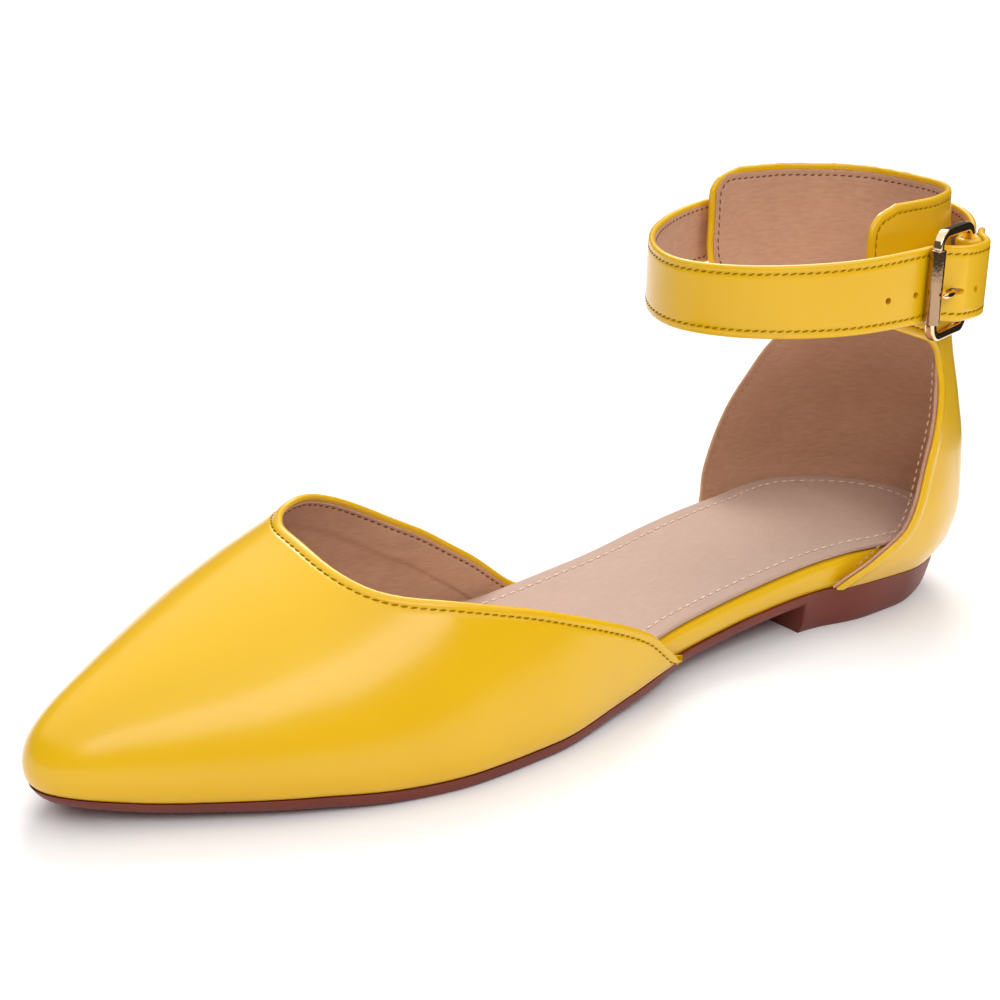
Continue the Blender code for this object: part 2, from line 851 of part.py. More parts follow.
LAYER = STRAP_THICKNESS + CLEARANCE
BAR_CLEAR = BAR_RADIUS + CLEARANCE + STRAP_THICKNESS / 2
BAR_OUT = STRAP_THICKNESS / 2
FREE_OVER_BAR = BAR_OUT + BAR_CLEAR + LAYER
ROLLER_UNDER = -STRAP_THICKNESS * 0.55
ROLLER_OUT = ROLLER_UNDER + STRAP_THICKNESS / 2 + CLEARANCE + ROLLER_RADIUS
HOLE_MIDDLE = -0.37 * BUCKLE_PITCH

# Where the band lies over its middle line, by length from the roller
BAND = (
    (-FREE_END, LAYER + CLEARANCE * 0.6),
    (TAIL_MIDDLE, LAYER + CLEARANCE),
    (-BUCKLE_PITCH, FREE_OVER_BAR),
    (HOLE_MIDDLE - HOLE_LENGTH * 0.5, FREE_OVER_BAR * 0.78),
    (HOLE_MIDDLE + HOLE_LENGTH * 0.5, FREE_OVER_BAR * 0.20),
    (0.0, ROLLER_UNDER),
    (BUCKLE_PITCH * 0.23, ROLLER_UNDER),
    (BUCKLE_PITCH * 1.26, 0.0),
    (STRAP_ROUND - BUCKLE_PITCH * 1.46, 0.0),
    (STRAP_ROUND - BUCKLE_PITCH, BAR_OUT + BAR_CLEAR),
)


def strap_path():
    """Rows of middle-line point, outward direction and whether the slot is cut."""
    lengths = []
    hole_start = HOLE_MIDDLE - HOLE_LENGTH / 2
    hole_end = HOLE_MIDDLE + HOLE_LENGTH / 2
    marks = [-FREE_END, TAIL_MIDDLE, -BUCKLE_PITCH, hole_start, hole_end, 0.0, BUCKLE_PITCH * 0.23,
             BUCKLE_PITCH * 1.26, STRAP_ROUND - BUCKLE_PITCH * 1.46, STRAP_ROUND - BUCKLE_PITCH]
    parts = [4, 6, 6, 1, 4, 2, 5, 44, 6]
    for a, b, n in zip(marks, marks[1:], parts):
        lengths += [mix(a, b, k / n) for k in range(n)]
    lengths.append(marks[-1])
    rows = []
    for s in lengths:
        rows.append((s, smooth_value(BAND, 1, s)))
    return rows, hole_start


strap_rows, hole_start = strap_path()
path = []
for s, out in strap_rows:
    here = strap_place(s, out)
    further = strap_place(s, out + 0.001)
    path.append((here, subtract(further, here), strap_height(s)))
hole_cell = [i for i, row in enumerate(strap_rows) if abs(row[0] - hole_start) < 1e-9][0]
# Fold round the bar, then back inside the band
fold_start = len(path) - 5
bar_here = strap_place(STRAP_ROUND - BUCKLE_PITCH, BAR_OUT)
bar_out = unit(subtract(strap_place(STRAP_ROUND - BUCKLE_PITCH, BAR_OUT + 0.001), bar_here))
bar_along = unit(cross(bar_out, (0.0, 0.0, 1.0)))
ahead = strap_place(STRAP_ROUND - BUCKLE_PITCH + 0.001, BAR_OUT)
if sum(p * q for p, q in zip(bar_along, subtract(ahead, bar_here))) < 0:
    bar_along = tuple(-value for value in bar_along)
for k in range(1, 8):
    angle = math.pi * k / 8
    way = tuple(bar_out[m] * math.cos(angle) + bar_along[m] * math.sin(angle) for m in range(3))
    path.append((tuple(bar_here[m] + way[m] * BAR_CLEAR for m in range(3)), way,
                 STRAP_WIDTH * STRAP_WIDER))
for k in range(0, 7):
    s = STRAP_ROUND - BUCKLE_PITCH - STRAP_FOLD * k / 6
    blend = min(k / 4, 1.0)
    blend = blend * blend * (3 - 2 * blend)
    out = mix(BAR_OUT - BAR_CLEAR, -LAYER, blend)
    here = strap_place(s, out)
    path.append((here, subtract(strap_place(s, out - 0.001), here), strap_height(s)))
fold_end = len(path) - 5

SLOT = SLOT_HEIGHT / STRAP_WIDTH / STRAP_WIDER / 2
SLOT_LOW = HOLE_DROP / STRAP_WIDTH / STRAP_WIDER
HEIGHTS = (-0.5, -SLOT - SLOT_LOW, SLOT - SLOT_LOW, 0.5)
strap_outer = []
strap_inner = []
for here, way, tall in path:
    way = unit(way)
    half = STRAP_THICKNESS / 2
    strap_outer.append([(here[0] + way[0] * half, here[1] + way[1] * half,
                         here[2] + h * tall) for h in HEIGHTS])
    strap_inner.append([(here[0] - way[0] * half, here[1] - way[1] * half,
                         here[2] + h * tall) for h in HEIGHTS])
slot_cells = [(i, 1) for i in range(fold_start, fold_end)]
shell_body("ankle_strap", strap_outer, strap_inner, yellow, missing=[(hole_cell, 1)] + slot_cells)

# Buckle frame, roller and prong
bar_middle = strap_place(-BUCKLE_PITCH, BAR_OUT)
roller_middle = strap_place(0.0, ROLLER_OUT)
frame_along = unit(subtract(roller_middle, bar_middle))
frame_out = cross(frame_along, (0.0, 0.0, 1.0))
if frame_out[1] < 0:
    frame_out = tuple(-value for value in frame_out)
frame_length = math.dist(roller_middle, bar_middle)
HALF_TALL = STRAP_WIDTH * STRAP_WIDER / 2 + BUCKLE_SIDE_GAP + BAR_RADIUS


def frame_point(along, out, up):
    return tuple(bar_middle[m] + frame_along[m] * along + frame_out[m] * out
                 + (up if m == 2 else 0.0) for m in range(3))


corners = ((0.0, -1.0), (frame_length, -1.0), (frame_length, 1.0), (0.0, 1.0))
frame_path = []
for index, (along, side) in enumerate(corners):
    turn = (math.pi, -math.pi / 2, 0.0, math.pi / 2)[index]
    cx = along + (CORNER_RADIUS if along == 0.0 else -CORNER_RADIUS)
    cz = side * (HALF_TALL - CORNER_RADIUS)
    for k in range(4):
        angle = turn + math.pi / 2 * k / 3
        frame_path.append(frame_point(cx + CORNER_RADIUS * math.cos(angle), 0.0,
                                      cz + CORNER_RADIUS * math.sin(angle)))
tube_body("buckle_frame", frame_path, BAR_RADIUS, 8, gold, closed=True, up=frame_out)

roller_sides = 14
roller_half = HALF_TALL - CORNER_RADIUS - 0.0002
rings = []
for radius, level in ((ROLLER_RADIUS, 1), (ROLLER_RADIUS, -1),
                      (BAR_RADIUS + ROLLER_GAP, -1), (BAR_RADIUS + ROLLER_GAP, 1)):
    rings.append([frame_point(frame_length + radius * math.cos(2 * math.pi * k / roller_sides),
                              radius * math.sin(2 * math.pi * k / roller_sides),
                              level * roller_half) for k in range(roller_sides)])
roller_faces = []
for i in range(4):
    for k in range(roller_sides):
        n = (k + 1) % roller_sides
        j = (i + 1) % 4
        roller_faces.append((i * roller_sides + k, i * roller_sides + n,
                             j * roller_sides + n, j * roller_sides + k))
add_object("buckle_roller", [p for ring in rings for p in ring], roller_faces, gold)

EYE_RADIUS = BAR_RADIUS + CLEARANCE + PRONG_RADIUS
prong_path = []
for k in range(9):
    angle = math.radians(mix(335.0, 95.0, k / 8))
    prong_path.append(frame_point(EYE_RADIUS * math.cos(angle), EYE_RADIUS * math.sin(angle),
                                  -HOLE_DROP))
tip_out = ROLLER_RADIUS + PRONG_RADIUS + 0.0002
for along, out in ((0.28, 0.52), (0.44, 0.20), (0.56, 0.28), (0.66, 0.72), (0.78, 1.00),
                   (0.92, 1.04), (1.06, 0.98)):
    prong_path.append(frame_point(frame_length * along, tip_out * out, -HOLE_DROP))
tube_body("buckle_prong", prong_path, PRONG_RADIUS, 6, gold)

# Put the middle of the box under the shoe at the origin
pieces = [piece for piece in bpy.data.objects if piece.type == "MESH"]
corners = [vertex.co for piece in pieces for vertex in piece.data.vertices]
shift_x = -(min(p.x for p in corners) + max(p.x for p in corners)) / 2
shift_y = -(min(p.y for p in corners) + max(p.y for p in corners)) / 2
shift_z = -min(p.z for p in corners)
for piece in pieces:
    for vertex in piece.data.vertices:
        vertex.co.x += shift_x
        vertex.co.y += shift_y
        vertex.co.z += shift_z
print("shift", round(shift_x, 5), round(shift_y, 5), round(shift_z, 5))
print("round the strap", round(STRAP_ROUND, 4))
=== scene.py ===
import math

import bmesh
import bpy
import numpy as np
from mathutils import Matrix, Quaternion, Vector
from mathutils.kdtree import KDTree


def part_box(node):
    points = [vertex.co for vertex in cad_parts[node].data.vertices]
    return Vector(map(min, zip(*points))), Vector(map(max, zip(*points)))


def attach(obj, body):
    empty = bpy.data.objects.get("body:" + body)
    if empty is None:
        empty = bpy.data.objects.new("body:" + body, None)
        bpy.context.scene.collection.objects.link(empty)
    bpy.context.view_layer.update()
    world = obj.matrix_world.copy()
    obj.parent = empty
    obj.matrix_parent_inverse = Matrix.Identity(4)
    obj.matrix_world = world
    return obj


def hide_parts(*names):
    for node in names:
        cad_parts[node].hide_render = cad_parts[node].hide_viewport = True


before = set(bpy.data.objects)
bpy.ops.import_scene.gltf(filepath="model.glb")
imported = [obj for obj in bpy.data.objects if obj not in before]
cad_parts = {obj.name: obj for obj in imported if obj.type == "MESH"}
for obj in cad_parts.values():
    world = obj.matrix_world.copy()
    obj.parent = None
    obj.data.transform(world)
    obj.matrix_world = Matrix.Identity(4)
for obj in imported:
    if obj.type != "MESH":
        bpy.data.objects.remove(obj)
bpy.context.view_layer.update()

mm = 0.001

# Sizes of the last. Everything is worked out from the back of the heel, x to the toe and y to
# the outer side, and moved onto the frame when a mesh is made
bedLow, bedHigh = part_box("footbed")
last = {
    "length": bedHigh.x - bedLow.x,
    "heelWidth": 54 * mm,
    "waistWidth": 49.2 * mm,
    "ballWidth": 75 * mm,
    "soleThickness": 3.3 * mm,
    "heelLift": 6.5 * mm,
    "waistLift": 8.7 * mm,
    "toeSpring": 4.9 * mm,
    "bedThickness": 6.2 * mm,
    "clearance": 0.3 * mm,
    "wall": 1.6 * mm,
}
wallReach = last["wall"] + last["clearance"]
heelWidth, waistWidth, ballWidth = last["heelWidth"], last["waistWidth"], last["ballWidth"]

# Share of the length, the width it follows, inner half, outer half
outlineRows = (
    (0.00, heelWidth, 0.000, 0.000), (0.02, heelWidth, 0.268, 0.272),
    (0.05, heelWidth, 0.385, 0.389), (0.10, heelWidth, 0.480, 0.469),
    (0.16, heelWidth, 0.507, 0.483), (0.23, heelWidth, 0.485, 0.469),
    (0.31, waistWidth, 0.500, 0.512), (0.40, waistWidth, 0.452, 0.546),
    (0.50, ballWidth, 0.299, 0.431), (0.60, ballWidth, 0.376, 0.507),
    (0.68, ballWidth, 0.456, 0.524), (0.75, ballWidth, 0.475, 0.487),
    (0.82, ballWidth, 0.421, 0.405), (0.90, ballWidth, 0.284, 0.264),
    (0.95, ballWidth, 0.180, 0.163), (0.98, ballWidth, 0.108, 0.101),
    (1.00, ballWidth, 0.000, 0.000),
)
# Share of the length, how far the sole is off the floor
liftRows = (
    (0.00, last["heelLift"]), (0.22, last["waistLift"]), (0.37, last["waistLift"] * 0.65),
    (0.52, last["waistLift"] * 0.16), (0.60, 0.0), (0.72, 0.0),
    (0.82, last["toeSpring"] * 0.28), (0.93, last["toeSpring"] * 0.50), (1.00, last["toeSpring"]),
)


def readTable(rows, column):
    # a monotone cubic through one column, which takes single places or arrays
    xs = np.array([row[0] for row in rows], float)
    ys = np.array([row[column] for row in rows], float)
    steps = np.diff(xs)
    slopes = np.diff(ys) / steps
    tangents = np.zeros(len(xs))
    tangents[0], tangents[-1] = slopes[0], slopes[-1]
    for i in range(1, len(slopes)):
        before, after = slopes[i - 1], slopes[i]
        if before * after > 0:
            first, second = 2 * steps[i] + steps[i - 1], steps[i] + 2 * steps[i - 1]
            tangents[i] = (first + second) / (first / before + second / after)

    def read(place):
        place = np.clip(place, xs[0], xs[-1])
        k = np.clip(np.searchsorted(xs, place, side="right") - 1, 0, len(steps) - 1)
        t = (place - xs[k]) / steps[k]
        return ((1 + 2 * t) * (1 - t) ** 2 * ys[k] + t * (1 - t) ** 2 * steps[k] * tangents[k]
                + t * t * (3 - 2 * t) * ys[k + 1] + t * t * (t - 1) * steps[k] * tangents[k + 1])
    return read


innerSquares = readTable([(r[0], (r[1] * r[2]) ** 2) for r in outlineRows], 1)
outerSquares = readTable([(r[0], (r[1] * r[3]) ** 2) for r in outlineRows], 1)
liftCurve = readTable(liftRows, 1)


def halfWidth(x, side):
    squares = outerSquares if side > 0 else innerSquares
    return np.sqrt(np.maximum(squares(np.asarray(x) / last["length"]), 0.0))


def outlinePoint(x, side, offset=0.0):
    # a point of the feather line moved out by offset, and the outward direction
    x = np.asarray(x, float)
    step = 0.05 * mm
    behind = np.maximum(x - step, 0.0)
    ahead = np.minimum(x + step, last["length"])
    along = np.maximum(ahead - behind, 1e-9)
    across = halfWidth(ahead, side) - halfWidth(behind, side)
    size = np.hypot(along, across)
    ended = (x <= 0) | (x >= last["length"])
    nx = np.where(ended, np.where(x <= 0, -1.0, 1.0), -across / size)
    ny = np.where(ended, 0.0, side * along / size)
    return x + offset * nx, side * halfWidth(x, side) * ~ended + offset * ny, nx, ny


def lift(x):
    return np.maximum(liftCurve(np.asarray(x) / last["length"]), 0.0)


def soleTop(x):
    return lift(np.minimum(x, last["length"])) + last["soleThickness"]


origin = Vector((bedLow.x, bedLow.y + float(np.max(halfWidth(np.linspace(0, last["length"], 400), -1))), 0.0))


# Meshes
def newPiece(name, points, faces, material, sharp=38, punch=None):
    mesh = bpy.data.meshes.new(name)
    mesh.from_pydata([(p[0] + origin.x, p[1] + origin.y, p[2] + origin.z) for p in points], [], faces)
    shape = bmesh.new()
    shape.from_mesh(mesh)
    bmesh.ops.remove_doubles(shape, verts=shape.verts, dist=0.002 * mm)
    bmesh.ops.recalc_face_normals(shape, faces=shape.faces)
    shape.to_mesh(mesh)
    shape.free()
    mesh.shade_smooth()
    mesh.set_sharp_from_angle(angle=math.radians(sharp))
    mesh.materials.append(material)
    piece = bpy.data.objects.new(name, mesh)
    bpy.context.scene.collection.objects.link(piece)
    if punch:
        holes = piece.modifiers.new("holes", "BOOLEAN")
        holes.operation = "DIFFERENCE"
        holes.solver = "EXACT"
        holes.object = punch
        bpy.context.view_layer.update()
        piece.data = bpy.data.meshes.new_from_object(piece.evaluated_get(bpy.context.evaluated_depsgraph_get()))
        piece.modifiers.clear()
    finishPiece(piece)
    return piece


def finishPiece(piece):
    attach(piece, "root")


def gridNormals(grid):
    along = np.gradient(grid, axis=0)
    across = np.gradient(grid, axis=1)
    normals = np.cross(along, across)
    return normals / np.maximum(np.linalg.norm(normals, axis=2, keepdims=True), 1e-12)


def outwardNormals(grid, middle):
    normals = gridNormals(grid)
    if np.sum((grid - middle) * normals) < 0:
        normals = -normals
    return normals


def sheetPiece(name, faceGrid, backGrid, material):
    # a closed sheet between two grids of points
    rows, columns = faceGrid.shape[:2]
    half = rows * columns
    index = np.arange(half).reshape(rows, columns)
    a, b = index[:-1, :-1].ravel(), index[:-1, 1:].ravel()
    c, d = index[1:, 1:].ravel(), index[1:, :-1].ravel()
    faces = np.stack([a, b, c, d], 1).tolist()
    faces += np.stack([d + half, c + half, b + half, a + half], 1).tolist()
    rim = list(index[0, :]) + list(index[1:, -1]) + list(index[-1, -2::-1]) + list(index[-2:0:-1, 0])
    for p, q in zip(rim, rim[1:] + rim[:1]):
        faces.append([int(q), int(p), int(p) + half, int(q) + half])
    points = np.concatenate([faceGrid.reshape(-1, 3), backGrid.reshape(-1, 3)])
    return newPiece(name, points.tolist(), faces, material)


def edgeDistance(grid, edge):
    # how far each point lies from a run of points
    tree = KDTree(len(edge))
    for i, p in enumerate(edge):
        tree.insert(p, i)
    tree.balance()
    flat = grid.reshape(-1, 3)
    return np.array([tree.find(p)[2] for p in flat]).reshape(grid.shape[:-1])


def resampled(points, step):
    points = np.asarray(points, float)
    lengths = np.concatenate([[0], np.cumsum(np.linalg.norm(np.diff(points, axis=0), axis=1))])
    count = max(int(round(lengths[-1] / step)), 2)
    places = np.linspace(0, lengths[-1], count + 1)
    return np.stack([np.interp(places, lengths, points[:, m]) for m in range(3)], 1)


def bell(distance, centre, width):
    return np.exp(-((distance - centre) / width) ** 2)


def roundOver(distance, radius):
    # how far a rounded rim has dropped at a distance from the edge
    inside = np.clip(distance, 0.0, radius)
    return radius - np.sqrt(np.maximum(radius ** 2 - (radius - inside) ** 2, 0.0))


def easeStep(value, start, end):
    t = np.clip((value - start) / (end - start), 0.0, 1.0)
    return t * t * (3 - 2 * t)


# Colours and materials
def hexColour(code):
    # sRGB hex to linear
    parts = [int(code[i:i + 2], 16) / 255 for i in (1, 3, 5)]
    return [c / 12.92 if c <= 0.04045 else ((c + 0.055) / 1.055) ** 2.4 for c in parts] + [1.0]


def addNode(material, kind, settings=None, values=None, links=None):
    node = material.node_tree.nodes.new(kind)
    for name, value in (settings or {}).items():
        setattr(node, name, value)
    for name, value in (values or {}).items():
        node.inputs[name].default_value = value
    for name, source in (links or {}).items():
        material.node_tree.links.new(source, node.inputs[name])
    return node


def startMaterial(name):
    material = bpy.data.materials.new(name)
    material.use_nodes = True
    surface = material.node_tree.nodes["Principled BSDF"]
    place = addNode(material, "ShaderNodeTexCoord").outputs["Object"]
    return material, surface, place


def setSurface(material, surface, values, links):
    for name, value in values.items():
        surface.inputs[name].default_value = value
    for name, source in links.items():
        material.node_tree.links.new(source, surface.inputs[name])


def rampBetween(material, factor, low, high, start=0.3, end=0.7):
    ramp = addNode(material, "ShaderNodeValToRGB", links={"Fac": factor})
    ramp.color_ramp.elements[0].position = start
    ramp.color_ramp.elements[1].position = end
    ramp.color_ramp.elements[0].color = low
    ramp.color_ramp.elements[1].color = high
    return ramp.outputs["Color"]


def coatedLeather():
    # Polyurethane coated leather, calendered smooth: an even, bright colour under a soft clear film
    grain = 0.45 * mm
    material, surface, place = startMaterial("yellow coated leather")
    cloud = addNode(material, "ShaderNodeTexNoise", values={"Scale": 1 / 0.045, "Detail": 2.0},
                    links={"Vector": place})
    colour = rampBetween(material, cloud.outputs["Fac"], hexColour("#E0AE07"), hexColour("#E6B50A"))
    cells = addNode(material, "ShaderNodeTexVoronoi", values={"Scale": 1 / grain, "Randomness": 0.9},
                    links={"Vector": place})
    pores = addNode(material, "ShaderNodeTexNoise", values={"Scale": 1 / (0.9 * mm), "Detail": 4.0},
                    links={"Vector": place})
    relief = addNode(material, "ShaderNodeMath", {"operation": "MULTIPLY_ADD"}, {1: 0.5},
                     {0: cells.outputs["Distance"], 2: pores.outputs["Fac"]})
    bump = addNode(material, "ShaderNodeBump", values={"Strength": 0.10, "Distance": 0.04 * mm},
                   links={"Height": relief.outputs[0]})
    rough = addNode(material, "ShaderNodeMapRange", values={"To Min": 0.30, "To Max": 0.42},
                    links={"Value": pores.outputs["Fac"]})
    setSurface(material, surface,
               {"IOR": 1.5, "Coat Weight": 0.65, "Coat Roughness": 0.23, "Specular IOR Level": 0.16},
               {"Base Color": colour, "Roughness": rough.outputs["Result"], "Normal": bump.outputs["Normal"]})
    return material


def liningCloth(name, dark, light, across):
    # Brushed microfibre lining: matt, faintly clouded, with short fibres that lie across
    material, surface, place = startMaterial(name)
    stretch = addNode(material, "ShaderNodeMapping", values={"Scale": across}, links={"Vector": place})
    fibres = addNode(material, "ShaderNodeTexNoise", values={"Scale": 1 / (1.1 * mm), "Detail": 6.0},
                     links={"Vector": stretch.outputs["Vector"]})
    cloud = addNode(material, "ShaderNodeTexNoise", values={"Scale": 1 / 0.012, "Detail": 3.0},
                    links={"Vector": place})
    mixed = addNode(material, "ShaderNodeMath", {"operation": "MULTIPLY_ADD"}, {1: 0.45},
                    {0: cloud.outputs["Fac"], 2: fibres.outputs["Fac"]})
    colour = rampBetween(material, mixed.outputs[0], hexColour(dark), hexColour(light), 0.55, 0.95)
    bump = addNode(material, "ShaderNodeBump", values={"Strength": 0.22, "Distance": 0.08 * mm},
                   links={"Height": fibres.outputs["Fac"]})
    setSurface(material, surface, {"Roughness": 0.82, "Sheen Weight": 0.12, "Sheen Roughness": 0.5,
                                   "Specular IOR Level": 0.3},
               {"Base Color": colour, "Normal": bump.outputs["Normal"]})
    return material


def mouldedRubber():
    # Moulded rubber, trimmed and waxed along its side: brown with a low, broken sheen
    material, surface, place = startMaterial("brown moulded rubber")
    cloud = addNode(material, "ShaderNodeTexNoise", values={"Scale": 1 / 0.018, "Detail": 4.0},
                    links={"Vector": place})
    colour = rampBetween(material, cloud.outputs["Fac"], hexColour("#6A291C"), hexColour("#7A3527"))
    stipple = addNode(material, "ShaderNodeTexNoise", values={"Scale": 1 / (0.5 * mm), "Detail": 3.0},
                      links={"Vector": place})
    bump = addNode(material, "ShaderNodeBump", values={"Strength": 0.2, "Distance": 0.05 * mm},
                   links={"Height": stipple.outputs["Fac"]})
    rough = addNode(material, "ShaderNodeMapRange", values={"To Min": 0.36, "To Max": 0.55},
                    links={"Value": cloud.outputs["Fac"]})
    setSurface(material, surface, {"IOR": 1.52, "Specular IOR Level": 0.35},
               {"Base Color": colour, "Roughness": rough.outputs["Result"], "Normal": bump.outputs["Normal"]})
    return material


def goldPlate(name, colour, roughness, relief):
    # Zinc die casting, barrel polished and plated pale gold: sharp reflections, faint waves
    material, surface, place = startMaterial(name)
    waves = addNode(material, "ShaderNodeTexNoise", values={"Scale": 1 / (0.7 * mm), "Detail": 3.0},
                    links={"Vector": place})
    bump = addNode(material, "ShaderNodeBump", values={"Strength": relief, "Distance": 0.05 * mm},
                   links={"Height": waves.outputs["Fac"]})
    rough = addNode(material, "ShaderNodeMapRange",
                    values={"To Min": roughness * 0.7, "To Max": roughness * 1.3},
                    links={"Value": waves.outputs["Fac"]})
    setSurface(material, surface, {"Metallic": 1.0, "Base Color": hexColour(colour)},
               {"Roughness": rough.outputs["Result"], "Normal": bump.outputs["Normal"]})
    return material


def sewingThread(name, dark, light):
    # Bonded nylon thread: a dull twisted yarn with darker turns
    material, surface, place = startMaterial(name)
    twist = addNode(material, "ShaderNodeTexNoise", values={"Scale": 1 / (0.35 * mm), "Detail": 1.0},
                    links={"Vector": place})
    colour = rampBetween(material, twist.outputs["Fac"], hexColour(dark), hexColour(light))
    setSurface(material, surface, {"Roughness": 0.8, "Specular IOR Level": 0.0}, {"Base Color": colour})
    return material


yellowLeather = coatedLeather()
tanLining = liningCloth("tan microfibre lining", "#C09275", "#CC9E80", (0.35, 0.35, 1.6))
sockLining = liningCloth("pale sock lining", "#B79988", "#BD9F8E", (0.4, 1.2, 1.0))
brownRubber = mouldedRubber()
paleGold = goldPlate("pale gold plating", "#EFD0A8", 0.05, 0.02)
# the roller's plating colour is much darker than the frame's: painted shade of the knurl's grooves, the knurl
# itself is only bump relief
shadedRollerGold = goldPlate("knurled gold plating with painted shade", "#A88A6C", 0.14, 1.0)
oliveThread = sewingThread("olive yellow thread", "#795803", "#B28806")
plumThread = sewingThread("plum brown thread", "#5B3B33", "#8A6150")
creamThread = sewingThread("cream thread", "#D8C2AE", "#F2E4D4")
tanThread = sewingThread("tan thread", "#A97E62", "#CBA283")
print("materials made")


# Stitches: a row of short rounded threads along a path, lying on the surface under it
def stitchTree():
    tree = bpy.data.node_groups.new("stitch row", "GeometryNodeTree")
    face = tree.interface
    face.new_socket("Geometry", in_out="INPUT", socket_type="NodeSocketGeometry")
    for name in ("Pitch", "Length", "Thickness", "Slant"):
        face.new_socket(name, in_out="INPUT", socket_type="NodeSocketFloat")
    face.new_socket("Thread", in_out="INPUT", socket_type="NodeSocketMaterial")
    face.new_socket("Geometry", in_out="OUTPUT", socket_type="NodeSocketGeometry")

    def add(kind, settings=None, values=None, links=None):
        node = tree.nodes.new(kind)
        for name, value in (settings or {}).items():
            setattr(node, name, value)
        for name, value in (values or {}).items():
            node.inputs[name].default_value = value
        for name, source in (links or {}).items():
            tree.links.new(source, node.inputs[name])
        return node.outputs

    given = add("NodeGroupInput")
    up = add("GeometryNodeInputNamedAttribute", {"data_type": "FLOAT_VECTOR"}, {"Name": "surfaceUp"})
    line = add("GeometryNodeMeshToCurve", links={"Mesh": given["Geometry"]})
    even = add("GeometryNodeResampleCurve", {"mode": "LENGTH"},
               links={"Curve": line["Curve"], "Length": given["Pitch"]})
    tangent = add("GeometryNodeInputTangent")
    half = add("ShaderNodeMath", {"operation": "MULTIPLY"}, {1: 0.5}, {0: given["Length"]})
    thin = add("ShaderNodeMath", {"operation": "MULTIPLY"}, {1: 0.5}, {0: given["Thickness"]})
    size = add("ShaderNodeCombineXYZ", links={"X": half[0], "Y": thin[0], "Z": thin[0]})
    bead = add("GeometryNodeMeshUVSphere", values={"Segments": 8, "Rings": 6, "Radius": 1.0})
    along = add("FunctionNodeAlignRotationToVector", {"axis": "X"}, links={"Vector": tangent["Tangent"]})
    flat = add("FunctionNodeAlignRotationToVector", {"axis": "Z", "pivot_axis": "X"},
               links={"Rotation": along["Rotation"], "Vector": up["Attribute"]})
    turn = add("FunctionNodeAxisAngleToRotation", values={"Axis": (0, 0, 1)}, links={"Angle": given["Slant"]})
    slanted = add("FunctionNodeRotateRotation", {"rotation_space": "LOCAL"},
                  links={"Rotation": flat["Rotation"], "Rotate By": turn["Rotation"]})
    placed = add("GeometryNodeInstanceOnPoints",
                 links={"Points": even["Curve"], "Instance": bead["Mesh"], "Rotation": slanted["Rotation"],
                        "Scale": size["Vector"]})
    real = add("GeometryNodeRealizeInstances", links={"Geometry": placed["Instances"]})
    smooth = add("GeometryNodeSetShadeSmooth", links={"Geometry": real["Geometry"]})
    coloured = add("GeometryNodeSetMaterial",
                   links={"Geometry": smooth["Geometry"], "Material": given["Thread"]})
    add("NodeGroupOutput", links={"Geometry": coloured["Geometry"]})
    return tree


stitches = {"pitch": 2.1 * mm, "length": 1.75 * mm, "thickness": 0.42 * mm, "slant": 9.0}
stitchRow = stitchTree()


def sewRow(name, paths, thread, slot, **changes):
    # paths are pairs of points and surface directions, one for each unbroken row
    sizes = dict(stitches, **changes)
    points, edges, ups = [], [], []
    for run, normals in paths:
        edges += [(len(points) + i, len(points) + i + 1) for i in range(len(run) - 1)]
        points += [(p[0] + origin.x, p[1] + origin.y, p[2] + origin.z) for p in run]
        ups += [tuple(n) for n in normals]
    mesh = bpy.data.meshes.new(name)
    mesh.from_pydata(points, edges, [])
    mesh.attributes.new("surfaceUp", "FLOAT_VECTOR", "POINT").data.foreach_set("vector", np.ravel(ups))
    guide = bpy.data.objects.new(name, mesh)
    bpy.context.scene.collection.objects.link(guide)
    modifier = guide.modifiers.new("stitches", "NODES")
    modifier.node_group = stitchRow
    wanted = {"Pitch": sizes["pitch"], "Length": sizes["length"], "Thickness": sizes["thickness"],
              "Slant": math.radians(sizes["slant"]), "Thread": thread}
    for item in stitchRow.interface.items_tree:
        if item.in_out == "INPUT" and item.name in wanted:
            modifier[item.identifier] = wanted[item.name]
    bpy.context.view_layer.update()
    result = bpy.data.meshes.new_from_object(guide.evaluated_get(bpy.context.evaluated_depsgraph_get()))
    result.name = name
    bpy.data.objects.remove(guide)
    piece = bpy.data.objects.new(name, result)
    bpy.context.scene.collection.objects.link(piece)
    finishPiece(piece)
    return piece


def insetRow(grid, normals, edge, distance, rise, trim=0.0):
    # a path that keeps its distance from an edge of a sheet, raised off the sheet by rise
    edge = resampled(edge, 0.7 * mm)
    flat, ups = grid.reshape(-1, 3), normals.reshape(-1, 3)
    tree = KDTree(len(flat))
    for i, p in enumerate(flat):
        tree.insert(p, i)
    tree.balance()
    tangents = np.gradient(edge, axis=0)
    middle = flat.mean(0)
    run = []
    for p, t in zip(edge, tangents):
        up = ups[tree.find(p)[1]]
        inward = np.cross(up, t)
        inward /= max(np.linalg.norm(inward), 1e-12)
        run.append(p + inward * distance)
    run = np.array(run)
    wrong = np.linalg.norm(run - middle, axis=1).mean() > np.linalg.norm(edge - middle, axis=1).mean()
    if wrong:
        run = 2 * edge - run
    for turn in range(6):
        run[1:-1] = (run[:-2] + 2 * run[1:-1] + run[2:]) / 4
    result, directions = [], []
    for p in run:
        i = tree.find(p)[1]
        p = p - ups[i] * np.dot(p - flat[i], ups[i])
        result.append(p + ups[i] * rise)
        directions.append(ups[i])
    skip = int(trim / (0.7 * mm))
    stop = len(result) - skip
    return np.array(result)[skip:stop], np.array(directions)[skip:stop]


